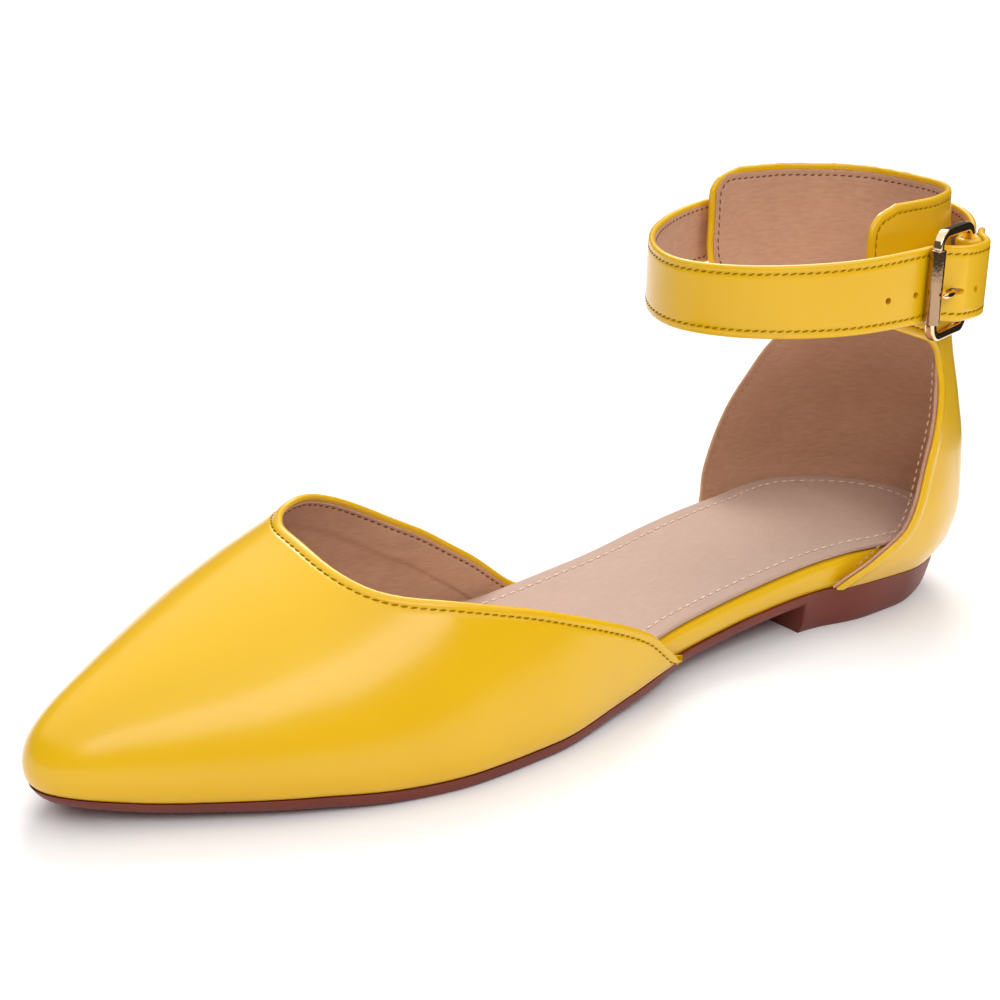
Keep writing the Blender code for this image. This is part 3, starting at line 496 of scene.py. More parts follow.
# Soft troughs: places from end to end in millimetres, their width and depth
def addTroughs(grid, normals, troughs):
    result = grid.copy()
    for start, end, width, depth in troughs:
        a, b = np.array(start) * mm, np.array(end) * mm
        t = np.clip(((grid - a) @ (b - a)) / np.dot(b - a, b - a), 0.0, 1.0)
        away = np.linalg.norm(grid - (a + t[..., None] * (b - a)), axis=-1)
        fade = np.sin(np.pi * np.clip(0.15 + 0.7 * t, 0, 1))
        result -= normals * (depth * mm * fade * np.exp(-(away / (width * mm)) ** 2))[..., None]
    return result


# Rings round the last, for the sole, the footbed and the sock liner
def ringStations(count, extra=()):
    fine = 0.5 - 0.5 * np.cos(np.pi * np.linspace(0, 1, 6001))
    stations = []
    for side in (1, -1):
        px, py, _, _ = outlinePoint(fine * last["length"], side)
        lengths = np.concatenate([[0], np.cumsum(np.hypot(np.diff(px), np.diff(py)))])
        stations.append(np.interp(np.linspace(0, lengths[-1], count + 1), lengths, fine * last["length"]))
    shared = np.sort(np.concatenate([(stations[0] + stations[1]) / 2, extra]))
    for x in extra:
        shared = shared[(np.abs(shared - x) > 0.45 * mm) | np.isin(shared, extra)]
    return shared


def ringPiece(name, stations, levels, material, sharp=38):
    count = len(stations)
    sides = np.concatenate([np.ones(count), -np.ones(count - 2)])
    xs = np.concatenate([stations, stations[-2:0:-1]])
    size = len(xs)
    points, faces = [], []
    for level in levels:
        offset, z = level(xs)
        for side in (1, -1):
            chosen = sides == side
            px, py, _, _ = outlinePoint(xs[chosen], side, (offset + 0 * xs)[chosen])
            points += list(zip(px, py, (z + 0 * xs)[chosen]))
    for row in range(len(levels) - 1):
        for k in range(size):
            a, b = row * size + k, row * size + (k + 1) % size
            faces.append((a, b, b + size, a + size))
    for base in (0, (len(levels) - 1) * size):
        for k in range(count - 1):
            corners = [k, k + 1, (size - k - 1) % size, (size - k) % size]
            corners = [c for i, c in enumerate(corners) if c not in corners[:i]]
            faces.append(tuple(base + c for c in corners))
    return newPiece(name, points, faces, material, sharp)


sole = {
    "breastPlace": 62.5 * mm,
    "breastSlope": 0.8 * mm,
    "heelTaper": 2.4 * mm,
    "toeTaper": 1.9 * mm,
    "chamfer": 0.9 * mm,
}
toeCurve = readTable(((0.0, 0.0), (0.72, 0.0), (0.90, 0.6), (1.0, 1.0)), 1)
weltCurve = readTable(((0.0, 1.0), (0.15, 1.0), (0.22, 0.0), (0.39, 0.0), (0.46, 1.0), (1.0, 1.0)), 1)


def soleLevel(drop, tuck):
    # drop is the share of the side's height, tuck the share of the chamfer at its foot
    def level(x):
        heel = (x <= sole["breastPlace"]).astype(float)
        height = last["soleThickness"] + heel * lift(x)
        taper = (sole["chamfer"] * 0.6 + (sole["heelTaper"] - sole["chamfer"] * 0.6) * heel
                 + sole["toeTaper"] * toeCurve(x / last["length"])) * drop
        return (wallReach * weltCurve(x / last["length"]) - taper - sole["chamfer"] * tuck,
                soleTop(x) - height * drop)
    return level


def buildSole():
    stations = ringStations(230, (sole["breastPlace"], sole["breastPlace"] + sole["breastSlope"]))
    levels = [soleLevel(0.0, 0.10), soleLevel(0.05, 0.0), soleLevel(0.35, -0.05), soleLevel(0.58, 0.0),
              soleLevel(0.72, 0.12), soleLevel(0.84, 0.34), soleLevel(0.94, 0.70), soleLevel(1.0, 1.15)]
    piece = ringPiece("outsole_side_and_heel", stations, levels, brownRubber)
    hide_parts("outsole")


bed = {"round": 1.1 * mm, "padding": 2.8 * mm}
# the padding lifts the heel seat and has faded out at the waist
paddingCurve = readTable(((0.00, 1.00), (0.08, 0.95), (0.16, 0.60), (0.28, 0.10), (0.34, 0.0), (1.0, 0.0)), 1)


def bedThickness(x):
    return last["bedThickness"] + bed["padding"] * paddingCurve(x / last["length"])


def bedLevel(offset, share):
    def level(x):
        return offset + 0 * x, soleTop(x) + last["clearance"] * 0.4 + bedThickness(x) * share
    return level


def buildFootbed():
    # the wrapped edge is full and round, drawn in under the sock liner and at the sole
    levels = []
    for share in np.linspace(1.0, 0.0, 15):
        swell = math.sin(math.pi * (0.06 + 0.88 * share)) ** 0.55
        levels.append(bedLevel(-bed["round"] * 1.2 * (1 - swell) - 0.05 * mm, share))
    levels.insert(0, bedLevel(-bed["round"] * 2.6, 1.015))
    piece = ringPiece("footbed_wrap", ringStations(230), levels, yellowLeather)
    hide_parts("footbed")


liner = {"thickness": 1.2 * mm, "inset": 1.6 * mm, "flare": 3.4 * mm, "stitchInset": 4.4 * mm}
linerFlare = readTable(((0.0, 1.0), (0.10, 1.0), (0.19, 0.0), (1.0, 0.0)), 1)


def linerPoint(x, side, inset):
    base = soleTop(x) + 2 * last["clearance"] + bedThickness(x)
    flare = liner["flare"] * linerFlare(x / last["length"]) - liner["inset"] - inset
    px, py, _, _ = outlinePoint(x, side, flare)
    return px, py, base


def buildLiner():
    stations = ringStations(230)
    seat = 2 * last["clearance"]
    groove = liner["stitchInset"]
    profile = [(0.25, 0.0), (0.0, 0.25), (0.0, 0.6), (0.12, 0.85), (0.45, 1.0), (1.5, 1.02), (3.2, 1.0)]
    profile = [(inset * mm, share) for inset, share in profile]
    profile += [(groove - 0.4 * mm, 0.97), (groove, 0.80), (groove + 0.4 * mm, 0.97), (groove + 1.2 * mm, 1.0)]

    def linerLevel(inset, share):
        def level(x):
            flare = liner["flare"] * linerFlare(x / last["length"]) - liner["inset"]
            # the point of the toe, out of sight in the vamp, keeps its rings apart
            room = np.minimum(halfWidth(x, 1), halfWidth(x, -1))
            shrink = np.minimum(1.0, room / (9 * mm))
            return flare - inset * shrink, soleTop(x) + seat + bedThickness(x) + liner["thickness"] * share
        return level

    levels = [linerLevel(inset, share) for inset, share in reversed(profile)]
    piece = ringPiece("sock_liner", stations, levels, sockLining)
    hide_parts("insole")
    inside = stations[(stations < 0.80 * last["length"])]
    run = []
    for side in (-1, 1):
        px, py, z = linerPoint(inside, side, groove)
        points = np.stack([px, py, z + liner["thickness"] * 1.04], 1)
        run += list(points[::-1] if side < 0 else points[1:])
    run = resampled(run, 0.8 * mm)
    sewRow("liner_stitches", [(run, [(0, 0, 1)] * len(run))], creamThread, "lining_leather",
           length=2.1 * mm, pitch=2.9 * mm, thickness=0.46 * mm, slant=6.0)


buildSole()
buildFootbed()
buildLiner()
print("sole, footbed and sock liner made")

# Vamp
vamp = {
    "wallHeight": 4.5 * mm,
    "bulge": 1.0 * mm,
    "ridgeHeight": 65.5 * mm,
    "ridgeOffset": -7.0 * mm,
    "sidePower": 2.1,
    "topPower": 1.8,
    "shoulder": 0.12,
    "ribs": 150,
    "leather": 1.0 * mm,
    "fold": 1.5 * mm,
    "stitchInset": 2.4 * mm,
    "grooveDepth": 0.26 * mm,
    "collarTape": 9.5 * mm,
    "softening": 700,
}
ridgeRows = ((0.40, 1.000), (0.55, 0.890), (0.67, 0.810), (0.745, 0.645), (0.82, 0.503),
             (0.895, 0.364), (0.95, 0.240), (0.98, 0.145), (1.00, 0.000))
# Station and place across the foot, 0 outside to 1 inside, from the outer end over the throat
topEdgeRows = (
    (0.424, 0.012), (0.438, 0.062), (0.462, 0.100), (0.490, 0.127), (0.541, 0.167), (0.596, 0.207),
    (0.643, 0.234), (0.688, 0.264), (0.724, 0.302), (0.747, 0.352), (0.758, 0.420),
    (0.757, 0.495), (0.747, 0.550), (0.730, 0.605), (0.707, 0.645), (0.675, 0.690),
    (0.643, 0.725), (0.590, 0.780), (0.562, 0.806), (0.534, 0.838), (0.506, 0.868),
    (0.477, 0.905), (0.457, 0.930), (0.436, 0.950),
)
throatRow = 10
vampFoot = wallReach
vampSide = wallReach + vamp["bulge"]
vampTip = last["length"] + vampSide
ridgeSquares = readTable([(r[0], (r[1] * vamp["ridgeHeight"]) ** 2) for r in ridgeRows], 1)


def sideTable(side):
    s = 1.0 - (1.0 - np.linspace(0, 1, 1201)) ** 2
    px, py, _, _ = outlinePoint((0.38 + 0.62 * s) * last["length"], side, vampSide)
    return px, py ** 2


sideTables = {1: sideTable(1), -1: sideTable(-1)}


def sideReach(x, side):
    px, squares = sideTables[side]
    return np.sqrt(np.maximum(np.interp(x, px, squares, right=0.0), 0.0))


def vampBase(x):
    return soleTop(x) + last["clearance"] * 0.5


def ridgeLine(x):
    return vamp["ridgeOffset"] * np.clip((vampTip - x) / (0.22 * last["length"]), 0.0, 1.0)


def acrossShare(x, y):
    middle = ridgeLine(x)
    edge = np.where(y >= middle, sideReach(x, 1), -sideReach(x, -1))
    share = np.minimum(np.abs((y - middle) / np.where(np.abs(edge - middle) < 1e-9, 1e-9, edge - middle)), 1.0)
    return np.where(y >= middle, share, -share)


def domeHeight(x, y):
    rise = np.sqrt(np.maximum(ridgeSquares(x / vampTip), 0.0))
    share = np.abs(acrossShare(x, y))
    return rise * (1.0 - share ** vamp["sidePower"]) ** (1.0 / vamp["topPower"])


def acrossPoint(x, place):
    side = 1 if place <= 0.5 else -1
    reach = (place if side > 0 else 1.0 - place) * 2.0
    if reach < vamp["shoulder"]:
        t = reach / vamp["shoulder"]
        px, py, _, _ = outlinePoint(x, side, vampFoot + vamp["bulge"] * (1.0 - (1.0 - t) ** 2))
        return float(px), float(py), float(vampBase(x) + vamp["wallHeight"] * t)
    angle = (reach - vamp["shoulder"]) / (1.0 - vamp["shoulder"]) * math.pi / 2
    share = math.cos(angle) ** (2.0 / vamp["sidePower"])
    middle = float(ridgeLine(x))
    y = middle + (float(sideReach(x, side)) * side - middle) * share
    return x, y, float(vampBase(x) + vamp["wallHeight"] + domeHeight(x, y))


def evenPoints(points, count):
    points = np.asarray(points, float)
    lengths = np.concatenate([[0], np.cumsum(np.linalg.norm(np.diff(points, axis=0), axis=1))])
    places = np.linspace(0, lengths[-1], count + 1)
    return np.stack([np.interp(places, lengths, points[:, m]) for m in range(points.shape[1])], 1)


def topEdgeHalves(count):
    # the top edge, softened as one run, then its two halves from their ends to the throat
    rows = [(i / (len(topEdgeRows) - 1), row[0], row[1]) for i, row in enumerate(topEdgeRows)]
    stations, places = readTable(rows, 1), readTable(rows, 2)
    shares = np.linspace(0, 1, 1401)
    line = np.array([acrossPoint(float(stations(t)) * last["length"], float(places(t))) for t in shares])
    for turn in range(vamp["softening"]):
        line[1:-1] = (line[:-2] + 2 * line[1:-1] + line[2:]) / 4
    throat = int(np.searchsorted(shares, throatRow / (len(topEdgeRows) - 1)))
    return evenPoints(line[:throat + 1], count), evenPoints(line[:throat - 1:-1], count)


def featherHalf(start, side, count):
    s = 1.0 - (1.0 - np.linspace(0, 1, 2001)) ** 2
    x = start + (last["length"] - start) * s
    px, py, _, _ = outlinePoint(x, side)
    return evenPoints(np.stack([px, py, x], 1), count)[:, 2]


def vampRib(x, side, top, rise=0.0):
    # from the feather line at station x up to a point of the top edge
    room = top[2] - vampBase(top[0])
    wall = min(vamp["wallHeight"], room * 0.6)
    t = np.linspace(0, wall / vamp["wallHeight"], 9)
    px, py, _, _ = outlinePoint(x, side, vampFoot + vamp["bulge"] * (1.0 - (1.0 - t) ** 2))
    lower = np.stack([px, py, vampBase(x) + vamp["wallHeight"] * t], 1)
    foot = lower[-1]
    topShare = float(acrossShare(top[0], top[1]))
    topDome = float(domeHeight(top[0], top[1]))
    scale = (room - wall) / topDome if topDome > 0.3 * mm else 0.0
    follow = min(max((0.80 * last["length"] - x) / (0.15 * last["length"]), 0.0), 1.0)
    s = np.linspace(0, 1, 121)[1:]
    if scale:
        g = 1.0 - np.cos(s * math.pi / 2)
        qx = foot[0] + (top[0] - foot[0]) * g
        share = side + (topShare - side) * g
        straight = acrossShare(qx, foot[1] + (top[1] - foot[1]) * g)
        share = straight + (share - straight) * follow
        reach = np.where(share >= 0, sideReach(qx, 1), -sideReach(qx, -1))
        qy = ridgeLine(qx) + (reach - ridgeLine(qx)) * np.abs(share)
        upper = np.stack([qx, qy, vampBase(qx) + wall + domeHeight(qx, qy) * scale], 1)
        upper[-1] = top
    else:
        upper = foot + (np.array(top) - foot) * s[:, None]
    return np.concatenate([lower, upper])


def fromEdge(line, distances, rest):
    # the line read from its far end: at set distances first, then evenly to its start
    line = line[::-1]
    lengths = np.concatenate([[0], np.cumsum(np.linalg.norm(np.diff(line, axis=0), axis=1))])
    near = distances * min(1.0, 0.7 * lengths[-1] / distances[-1])
    places = np.concatenate([near, np.linspace(near[-1], lengths[-1], rest + 1)[1:]])
    return np.stack([np.interp(places, lengths, line[:, m]) for m in range(3)], 1)


edgeSteps = np.array([0, 0.06, 0.16, 0.3, 0.5, 0.75, 1.1, 1.5, 1.9, 2.3, 2.6, 2.8, 3.0, 3.2, 3.4, 3.7,
                      4.2, 5.0, 6.0, 7.2]) * mm


def vampGrid(ribs, inset, rest):
    outerEdge, innerEdge = topEdgeHalves(ribs)
    outerFeet = featherHalf(topEdgeRows[0][0] * last["length"], 1, ribs)
    innerFeet = featherHalf(topEdgeRows[-1][0] * last["length"], -1, ribs)
    lines = [vampRib(x, 1, top) for x, top in zip(outerFeet, outerEdge)]
    lines += [vampRib(x, -1, top) for x, top in zip(innerFeet[-2::-1], innerEdge[-2::-1])]
    return np.stack([fromEdge(line, edgeSteps + inset, rest) for line in lines])


def buildVamp():
    middle = np.array([0.70 * last["length"], 0.0, 12 * mm])
    grid = vampGrid(vamp["ribs"], 0.0, 62)
    normals = outwardNormals(grid, middle)
    edge = grid[:, 0]
    away = edgeDistance(grid, resampled(edge, 0.12 * mm))
    # the folded edge is full, then the seam pulls a trough
    lifted = (-roundOver(away, last["wall"] / 2)
              + 0.14 * mm * bell(away, 1.5 * mm, 0.9 * mm)
              - vamp["grooveDepth"] * bell(away, vamp["stitchInset"], 0.42 * mm))
    height = grid[..., 2] - vampBase(grid[..., 0])
    tucked = roundOver(height, 0.8 * mm) * 0.6
    level = normals * np.array([1.0, 1.0, 0.0])
    face = grid + normals * lifted[..., None] - level * tucked[..., None]
    turned = easeStep(away, vamp["fold"] + 0.25 * mm, vamp["fold"] - 0.15 * mm)
    back = vamp["leather"] + (last["wall"] - vamp["leather"]) * turned - roundOver(away, last["wall"] / 2)
    piece = sheetPiece("vamp_leather", face, grid - normals * back[..., None], yellowLeather)
    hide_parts("vamp")

    lining = vampGrid(110, vamp["fold"], 46)[5:-3]
    liningNormals = outwardNormals(lining, middle)
    away = edgeDistance(lining, resampled(edge, 0.2 * mm))
    tape = 0.28 * mm * easeStep(away, vamp["collarTape"] + 0.5 * mm, vamp["collarTape"] - 0.5 * mm)
    inner = (last["wall"] - roundOver(away - vamp["fold"], 0.3 * mm) + tape
             - 0.15 * mm * bell(away, vamp["stitchInset"], 0.4 * mm))
    surface = lining - liningNormals * inner[..., None]
    surface = addTroughs(surface, liningNormals, liningTroughs)
    top = lining - liningNormals * (vamp["leather"] + 0.05 * mm)
    sheetPiece("vamp_lining", top, surface, tanLining)

    row = insetRow(grid, normals, edge, vamp["stitchInset"], 0.02 * mm - vamp["grooveDepth"] * 0.6, 2.5 * mm)
    sewRow("vamp_stitches", [row], oliveThread, "upper_leather")
    row = insetRow(surface, -liningNormals, edge - normals[:, 0] * last["wall"], vamp["stitchInset"],
                   0.05 * mm, 4.0 * mm)
    sewRow("vamp_lining_stitches", [row], plumThread, "lining_leather", length=1.4 * mm)


# Folds of the lining inside the vamp, heel frame in millimetres
liningTroughs = (
    ((150, -30, 30), (185, -20, 36), 2.2, 0.35),
    ((160, -32, 24), (192, -22, 28), 2.6, -0.30),
    ((140, -28, 22), (170, -27, 30), 1.8, 0.25),
)
buildVamp()
print("vamp made")

# Heel panel
panel = {
    "height": 101.2 * mm,
    "cupBulge": 6.0 * mm,
    "reach": 54.0 * mm,
    "leather": 1.0 * mm,
    "fold": 1.6 * mm,
    "lip": 0.7 * mm,
    "stitchInset": 2.3 * mm,
    "grooveDepth": 0.26 * mm,
}
# Share of the height, bulge behind, outside and inside as shares of cupBulge
cupRows = (
    (0.00, 0.00, 0.00, 0.00), (0.07, 0.61, 0.62, 0.36), (0.15, 1.03, 0.82, 0.68),
    (0.30, 1.12, 0.54, 0.78), (0.45, 0.58, 0.24, 0.83), (0.60, 0.00, -0.24, 0.87),
    (0.80, -0.40, -0.62, 1.00), (1.00, -0.79, -0.92, 1.15),
)
# Share of the height, station of the outer and the inner front edge as shares of reach
frontRows = (
    (0.000, 1.010, 0.960), (0.030, 0.955, 0.945), (0.080, 0.835, 0.905), (0.150, 0.655, 0.862),
    (0.300, 0.512, 0.742), (0.450, 0.415, 0.545), (0.540, 0.380, 0.410), (0.580, 0.380, 0.375),
    (0.620, 0.430, 0.430), (0.660, 0.620, 0.620), (0.700, 0.820, 0.825), (0.740, 0.895, 0.885),
    (0.800, 0.920, 0.905), (0.860, 0.920, 0.900), (0.935, 0.912, 0.897), (0.975, 0.860, 0.850),
    (1.000, 0.730, 0.720),
)
cupCurves = [readTable(cupRows, column) for column in (1, 2, 3)]
frontCurves = {1: readTable(frontRows, 1), -1: readTable(frontRows, 2)}


def arcTable(side):
    x = np.linspace(0, 1, 3001) ** 2 * panel["reach"] * 1.5
    px, py, _, _ = outlinePoint(x, side)
    return np.concatenate([[0], np.cumsum(np.hypot(np.diff(px), np.diff(py)))]), x


arcTables = {1: arcTable(1), -1: arcTable(-1)}


def panelPoints(stations, side, share):
    _, _, nx, _ = outlinePoint(stations, side)
    behind = cupCurves[0](share)
    beside = cupCurves[1 if side > 0 else 2](share)
    weight = np.where(nx < 0, nx ** 2, 0.0)
    bulge = panel["cupBulge"] * (beside + (behind - beside) * weight) + wallReach
    px, py, _, _ = outlinePoint(stations, side, bulge)
    low = soleTop(stations) + last["clearance"] * 0.5
    high = soleTop(0.0) + last["clearance"] + panel["height"]
    return np.stack([px, py, low + (high - low) * share], -1)


def upperShare(share):
    # 0 along the low front edges, 1 in the wings
    return easeStep(share, 0.50, 0.60)


def panelGrid(inset, lip, columns, rows):
    # inset from the edge in the wings and at the top, lip the reach past the low front edges
    topSteps = (edgeSteps + inset) / panel["height"]
    shares = np.concatenate([np.linspace(0, 1 - topSteps[-1], rows), 1 - topSteps[-2::-1]])
    grid = []
    for share in shares:
        shift = lip - (inset + lip) * upperShare(share)
        line = []
        for side in (-1, 1):
            arcs, stations = arcTables[side]
            near = np.interp(panel["reach"] * frontCurves[side](share), stations, arcs) + shift - edgeSteps
            reach = np.concatenate([near, np.linspace(near[-1], 0, columns + 1)[1:]])
            points = panelPoints(np.interp(reach, arcs, stations), side, share)
            line.append(points if side < 0 else points[-2::-1])
        grid.append(np.concatenate(line))
    return np.stack(grid), shares


def sheetEdge(grid, rows):
    # up one side, over the top and down the other, for the rows given
    return np.concatenate([grid[rows, 0], grid[-1, 1:-1], grid[rows, -1][::-1]])


def buildPanel():
    middle = np.array([30 * mm, 0.0, 50 * mm])
    grid, shares = panelGrid(0.0, 0.0, 52, 105)
    normals = outwardNormals(grid, middle)
    edge = sheetEdge(grid, shares >= 0)
    away = edgeDistance(grid, resampled(edge, 0.12 * mm))
    upper = upperShare(shares)[:, None]
    thick = panel["leather"] + (last["wall"] - panel["leather"]) * upper
    lifted = (-roundOver(away, thick / 2) + (0.34 - 0.18 * upper) * mm * bell(away, 1.5 * mm, 1.0 * mm)
              - panel["grooveDepth"] * bell(away, panel["stitchInset"], 0.42 * mm) * upper)
    height = grid[..., 2] - soleTop(np.clip(grid[..., 0], 0, None))
    tucked = roundOver(height, 0.8 * mm) * 0.6
    level = normals * np.array([1.0, 1.0, 0.0])
    face = grid + normals * lifted[..., None] - level * tucked[..., None]
    turned = easeStep(away, panel["fold"] + 0.25 * mm, panel["fold"] - 0.15 * mm)
    back = panel["leather"] + (thick - panel["leather"]) * turned - roundOver(away, thick / 2)
    piece = sheetPiece("heel_panel_leather", face, grid - normals * back[..., None], yellowLeather)
    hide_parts("heel_panel")

    lining, liningShares = panelGrid(panel["fold"], panel["lip"], 42, 80)
    liningNormals = outwardNormals(lining, middle)
    away = edgeDistance(lining, resampled(sheetEdge(lining, liningShares >= 0), 0.2 * mm))
    inner = last["wall"] + 0.10 * mm - roundOver(away, 0.3 * mm) - 0.14 * mm * bell(away, 1.6 * mm, 0.5 * mm)
    surface = addTroughs(lining - liningNormals * inner[..., None], liningNormals, cuffTroughs)
    top = lining - liningNormals * (panel["leather"] + 0.05 * mm)
    sheetPiece("heel_panel_lining", top, surface, tanLining)

    rise = 0.02 * mm - panel["grooveDepth"] * 0.6
    row = insetRow(grid, normals, sheetEdge(grid, shares > 0.62), panel["stitchInset"], rise, 1.4 * mm)
    sewRow("heel_panel_stitches", [row], oliveThread, "upper_leather")
    row = insetRow(surface, -liningNormals, sheetEdge(surface, liningShares > 0.56), 1.6 * mm, 0.04 * mm, 1.4 * mm)
    sewRow("cuff_lining_stitches", [row], plumThread, "lining_leather", length=1.4 * mm)
    low = (liningShares > 0.05) & (liningShares < 0.56)
    rows = [insetRow(surface, -liningNormals, surface[low, column], 1.8 * mm, 0.04 * mm) for column in (0, -1)]
    sewRow("heel_panel_lining_stitches", rows, tanThread, "lining_leather", length=1.5 * mm)


# Shallow folds of the cuff's lining
cuffTroughs = (
    ((14, -18, 104), (34, -24, 103), 1.6, 0.25),
    ((10, -12, 99), (24, -22, 97), 2.4, 0.20),
    ((4, -2, 96), (12, 14, 95), 2.8, 0.22),
)
buildPanel()
print("heel panel made")

# Ankle strap and buckle
strap = {
    "width": 17.8 * mm,
    "wider": 1.09,
    "thickness": 1.8 * mm,
    "height": 93.7 * mm,
    "fall": 0.08,
    "drop": 2.4 * mm,
    "centre": (43.0 * mm, -2.4 * mm),
    "front": 47.0 * mm,
    "rear": 44.8 * mm,
    "side": 37.6 * mm,
    "frontPower": 1.80,
    "rearPower": 2.70,
    "bucklePower": 2.00,
    "tail": 14.5 * mm,
    "fold": 12.0 * mm,
    "stitchInset": 2.1 * mm,
    "holePlaces": (13.0 * mm, 4.0 * mm, -13.0 * mm),
    "holeRadius": 0.85 * mm,
}
buckle = {
    "placeX": 40.5 * mm,
    "pitch": 18.5 * mm,
    "sideGap": 2.1 * mm,
    "barRadius": 1.25 * mm,
    "rollerRadius": 2.0 * mm,
    "rollerGap": 0.2 * mm,
    "prongRadius": 0.8 * mm,
    "cornerRadius": 3.4 * mm,
    "holeDrop": 1.8 * mm,
}
pitch = buckle["pitch"]
freeEnd = pitch + strap["tail"]
tailMiddle = -pitch - strap["tail"] * 0.58


def strapPlan(angle):
    c, s = np.cos(angle), np.sin(angle)
    power = 2.0 / np.where(c >= 0, strap["frontPower"], np.where(s > 0, strap["bucklePower"], strap["rearPower"]))
    length = np.where(c >= 0, strap["front"], strap["rear"])
    return (strap["centre"][0] + length * np.copysign(np.abs(c) ** power, c),
            strap["centre"][1] + strap["side"] * np.copysign(np.abs(s) ** power, s))


startAngle = math.pi / 2
while strapPlan(startAngle)[0] > buckle["placeX"]:
    startAngle += 0.002
planX, planY = strapPlan(startAngle - 2 * math.pi * np.linspace(0, 1, 2881))
planLength = np.concatenate([[0], np.cumsum(np.hypot(np.diff(planX), np.diff(planY)))])
strapRound = planLength[-1]
# Length from the roller, share of the drop, share of the widening
buckleEnd = ((-freeEnd, 1.15, 1.0), (-pitch, 1.0, 1.0), (0.0, 0.29, 1.0),
             (pitch, 0.10, 0.75), (pitch * 4, 0.0, 0.0), (strapRound - pitch * 5, 0.0, 0.0),
             (strapRound - pitch, 1.0, 1.0), (strapRound, 1.0, 1.0))
dropCurve, widerCurve = readTable(buckleEnd, 1), readTable(buckleEnd, 2)


def strapTall(s):
    return strap["width"] * (1.0 + (strap["wider"] - 1.0) * widerCurve(s))


def strapPlace(s, out=0.0):
    s = np.asarray(s, float)
    drop = dropCurve(s)
    around = s % strapRound
    step = 1.2 * mm
    x, y = np.interp(around, planLength, planX), np.interp(around, planLength, planY)
    before, after = (around - step) % strapRound, (around + step) % strapRound
    ax, ay = np.interp(before, planLength, planX), np.interp(before, planLength, planY)
    bx, by = np.interp(after, planLength, planX), np.interp(after, planLength, planY)
    size = np.hypot(bx - ax, by - ay)
    z = strap["height"] - strap["fall"] * (x - strap["centre"][0]) - strap["drop"] * drop
    return np.stack([x - (by - ay) / size * out, y + (bx - ax) / size * out, z], -1)


def unit(v):
    v = np.asarray(v, float)
    return v / np.maximum(np.linalg.norm(v, axis=-1, keepdims=True), 1e-12)


layer = strap["thickness"] + last["clearance"]
barClear = buckle["barRadius"] + last["clearance"] + strap["thickness"] / 2
barOut = strap["thickness"] / 2
freeOverBar = barOut + barClear + layer
rollerUnder = -strap["thickness"] * 0.55
rollerOut = rollerUnder + strap["thickness"] / 2 + last["clearance"] + buckle["rollerRadius"]
holeMiddle = -0.37 * pitch
holeLength = 3.8 * mm
# Length from the roller, how far out the band lies
bandRows = (
    (-freeEnd, layer + last["clearance"] * 0.6), (tailMiddle, layer + last["clearance"]),
    (-pitch, freeOverBar),
    (holeMiddle - holeLength / 2, freeOverBar * 0.78), (holeMiddle + holeLength / 2, freeOverBar * 0.20),
    (0.0, rollerUnder), (pitch * 0.23, rollerUnder), (pitch * 1.26, 0.0),
    (strapRound - pitch * 1.46, 0.0), (strapRound - pitch, barOut + barClear),
)
bandCurve = readTable(bandRows, 1)


def strapPath():
    # middle points, outward directions, heights and lengths along the band
    s = np.concatenate([np.linspace(-freeEnd, pitch * 1.3, 120)[:-1],
                        np.linspace(pitch * 1.3, strapRound - pitch * 1.5, 300)[:-1],
                        np.linspace(strapRound - pitch * 1.5, strapRound - pitch, 24)])
    points = strapPlace(s, bandCurve(s))
    ways = strapPlace(s, bandCurve(s) + mm) - points
    talls = strapTall(s)
    barHere = strapPlace(strapRound - pitch, barOut)
    outWay = unit(strapPlace(strapRound - pitch, barOut + mm) - barHere)
    along = unit(np.cross(outWay, (0, 0, 1)))
    if np.dot(along, strapPlace(strapRound - pitch + mm, barOut) - barHere) < 0:
        along = -along
    angles = np.pi * np.linspace(0, 1, 18)[1:-1]
    turn = np.cos(angles)[:, None] * outWay + np.sin(angles)[:, None] * along
    share = np.linspace(0, 1, 22)
    back = strapRound - pitch - strap["fold"] * share
    blend = easeStep(share, 0.0, 4 / 6)
    out = (barOut - barClear) + (-layer - barOut + barClear) * blend
    backPoints = strapPlace(back, out)
    backWays = strapPlace(back, out - mm) - backPoints
    points = np.concatenate([points, barHere + turn * barClear, backPoints])
    ways = unit(np.concatenate([ways, turn, backWays]))
    talls = np.concatenate([talls, np.full(len(angles), strap["width"] * strap["wider"]), strapTall(back)])
    return points, ways, talls, s


def bandSection(tall, thickness, inset, groove):
    # once round the band's section: out and up, from the foot of its face
    half, edge = thickness / 2, tall / 2
    ups = np.array([0.0, 0.25, 0.6, 1.1, 1.7, inset / mm - 0.5, inset / mm - 0.25, inset / mm,
                    inset / mm + 0.25, inset / mm + 0.5, inset / mm + 1.2]) * mm
    face = []
    for d in list(ups) + [edge] + list(ups[::-1]):
        out = half - roundOver(d, half * 0.9) - groove * float(bell(d, inset, 0.38 * mm))
        face.append((out, d))
    count = len(ups)
    section = []
    for i, (out, d) in enumerate(face):
        section.append((out, -edge + d if i <= count else edge - d))
    back = []
    for i, d in enumerate([0.0, 0.25, 0.6, 1.2, edge, 1.2, 0.6, 0.25, 0.0]):
        d = d * mm if d != edge else edge
        back.append((-half + roundOver(d, half * 0.9), edge - d if i <= 4 else -edge + d))
    return section + back


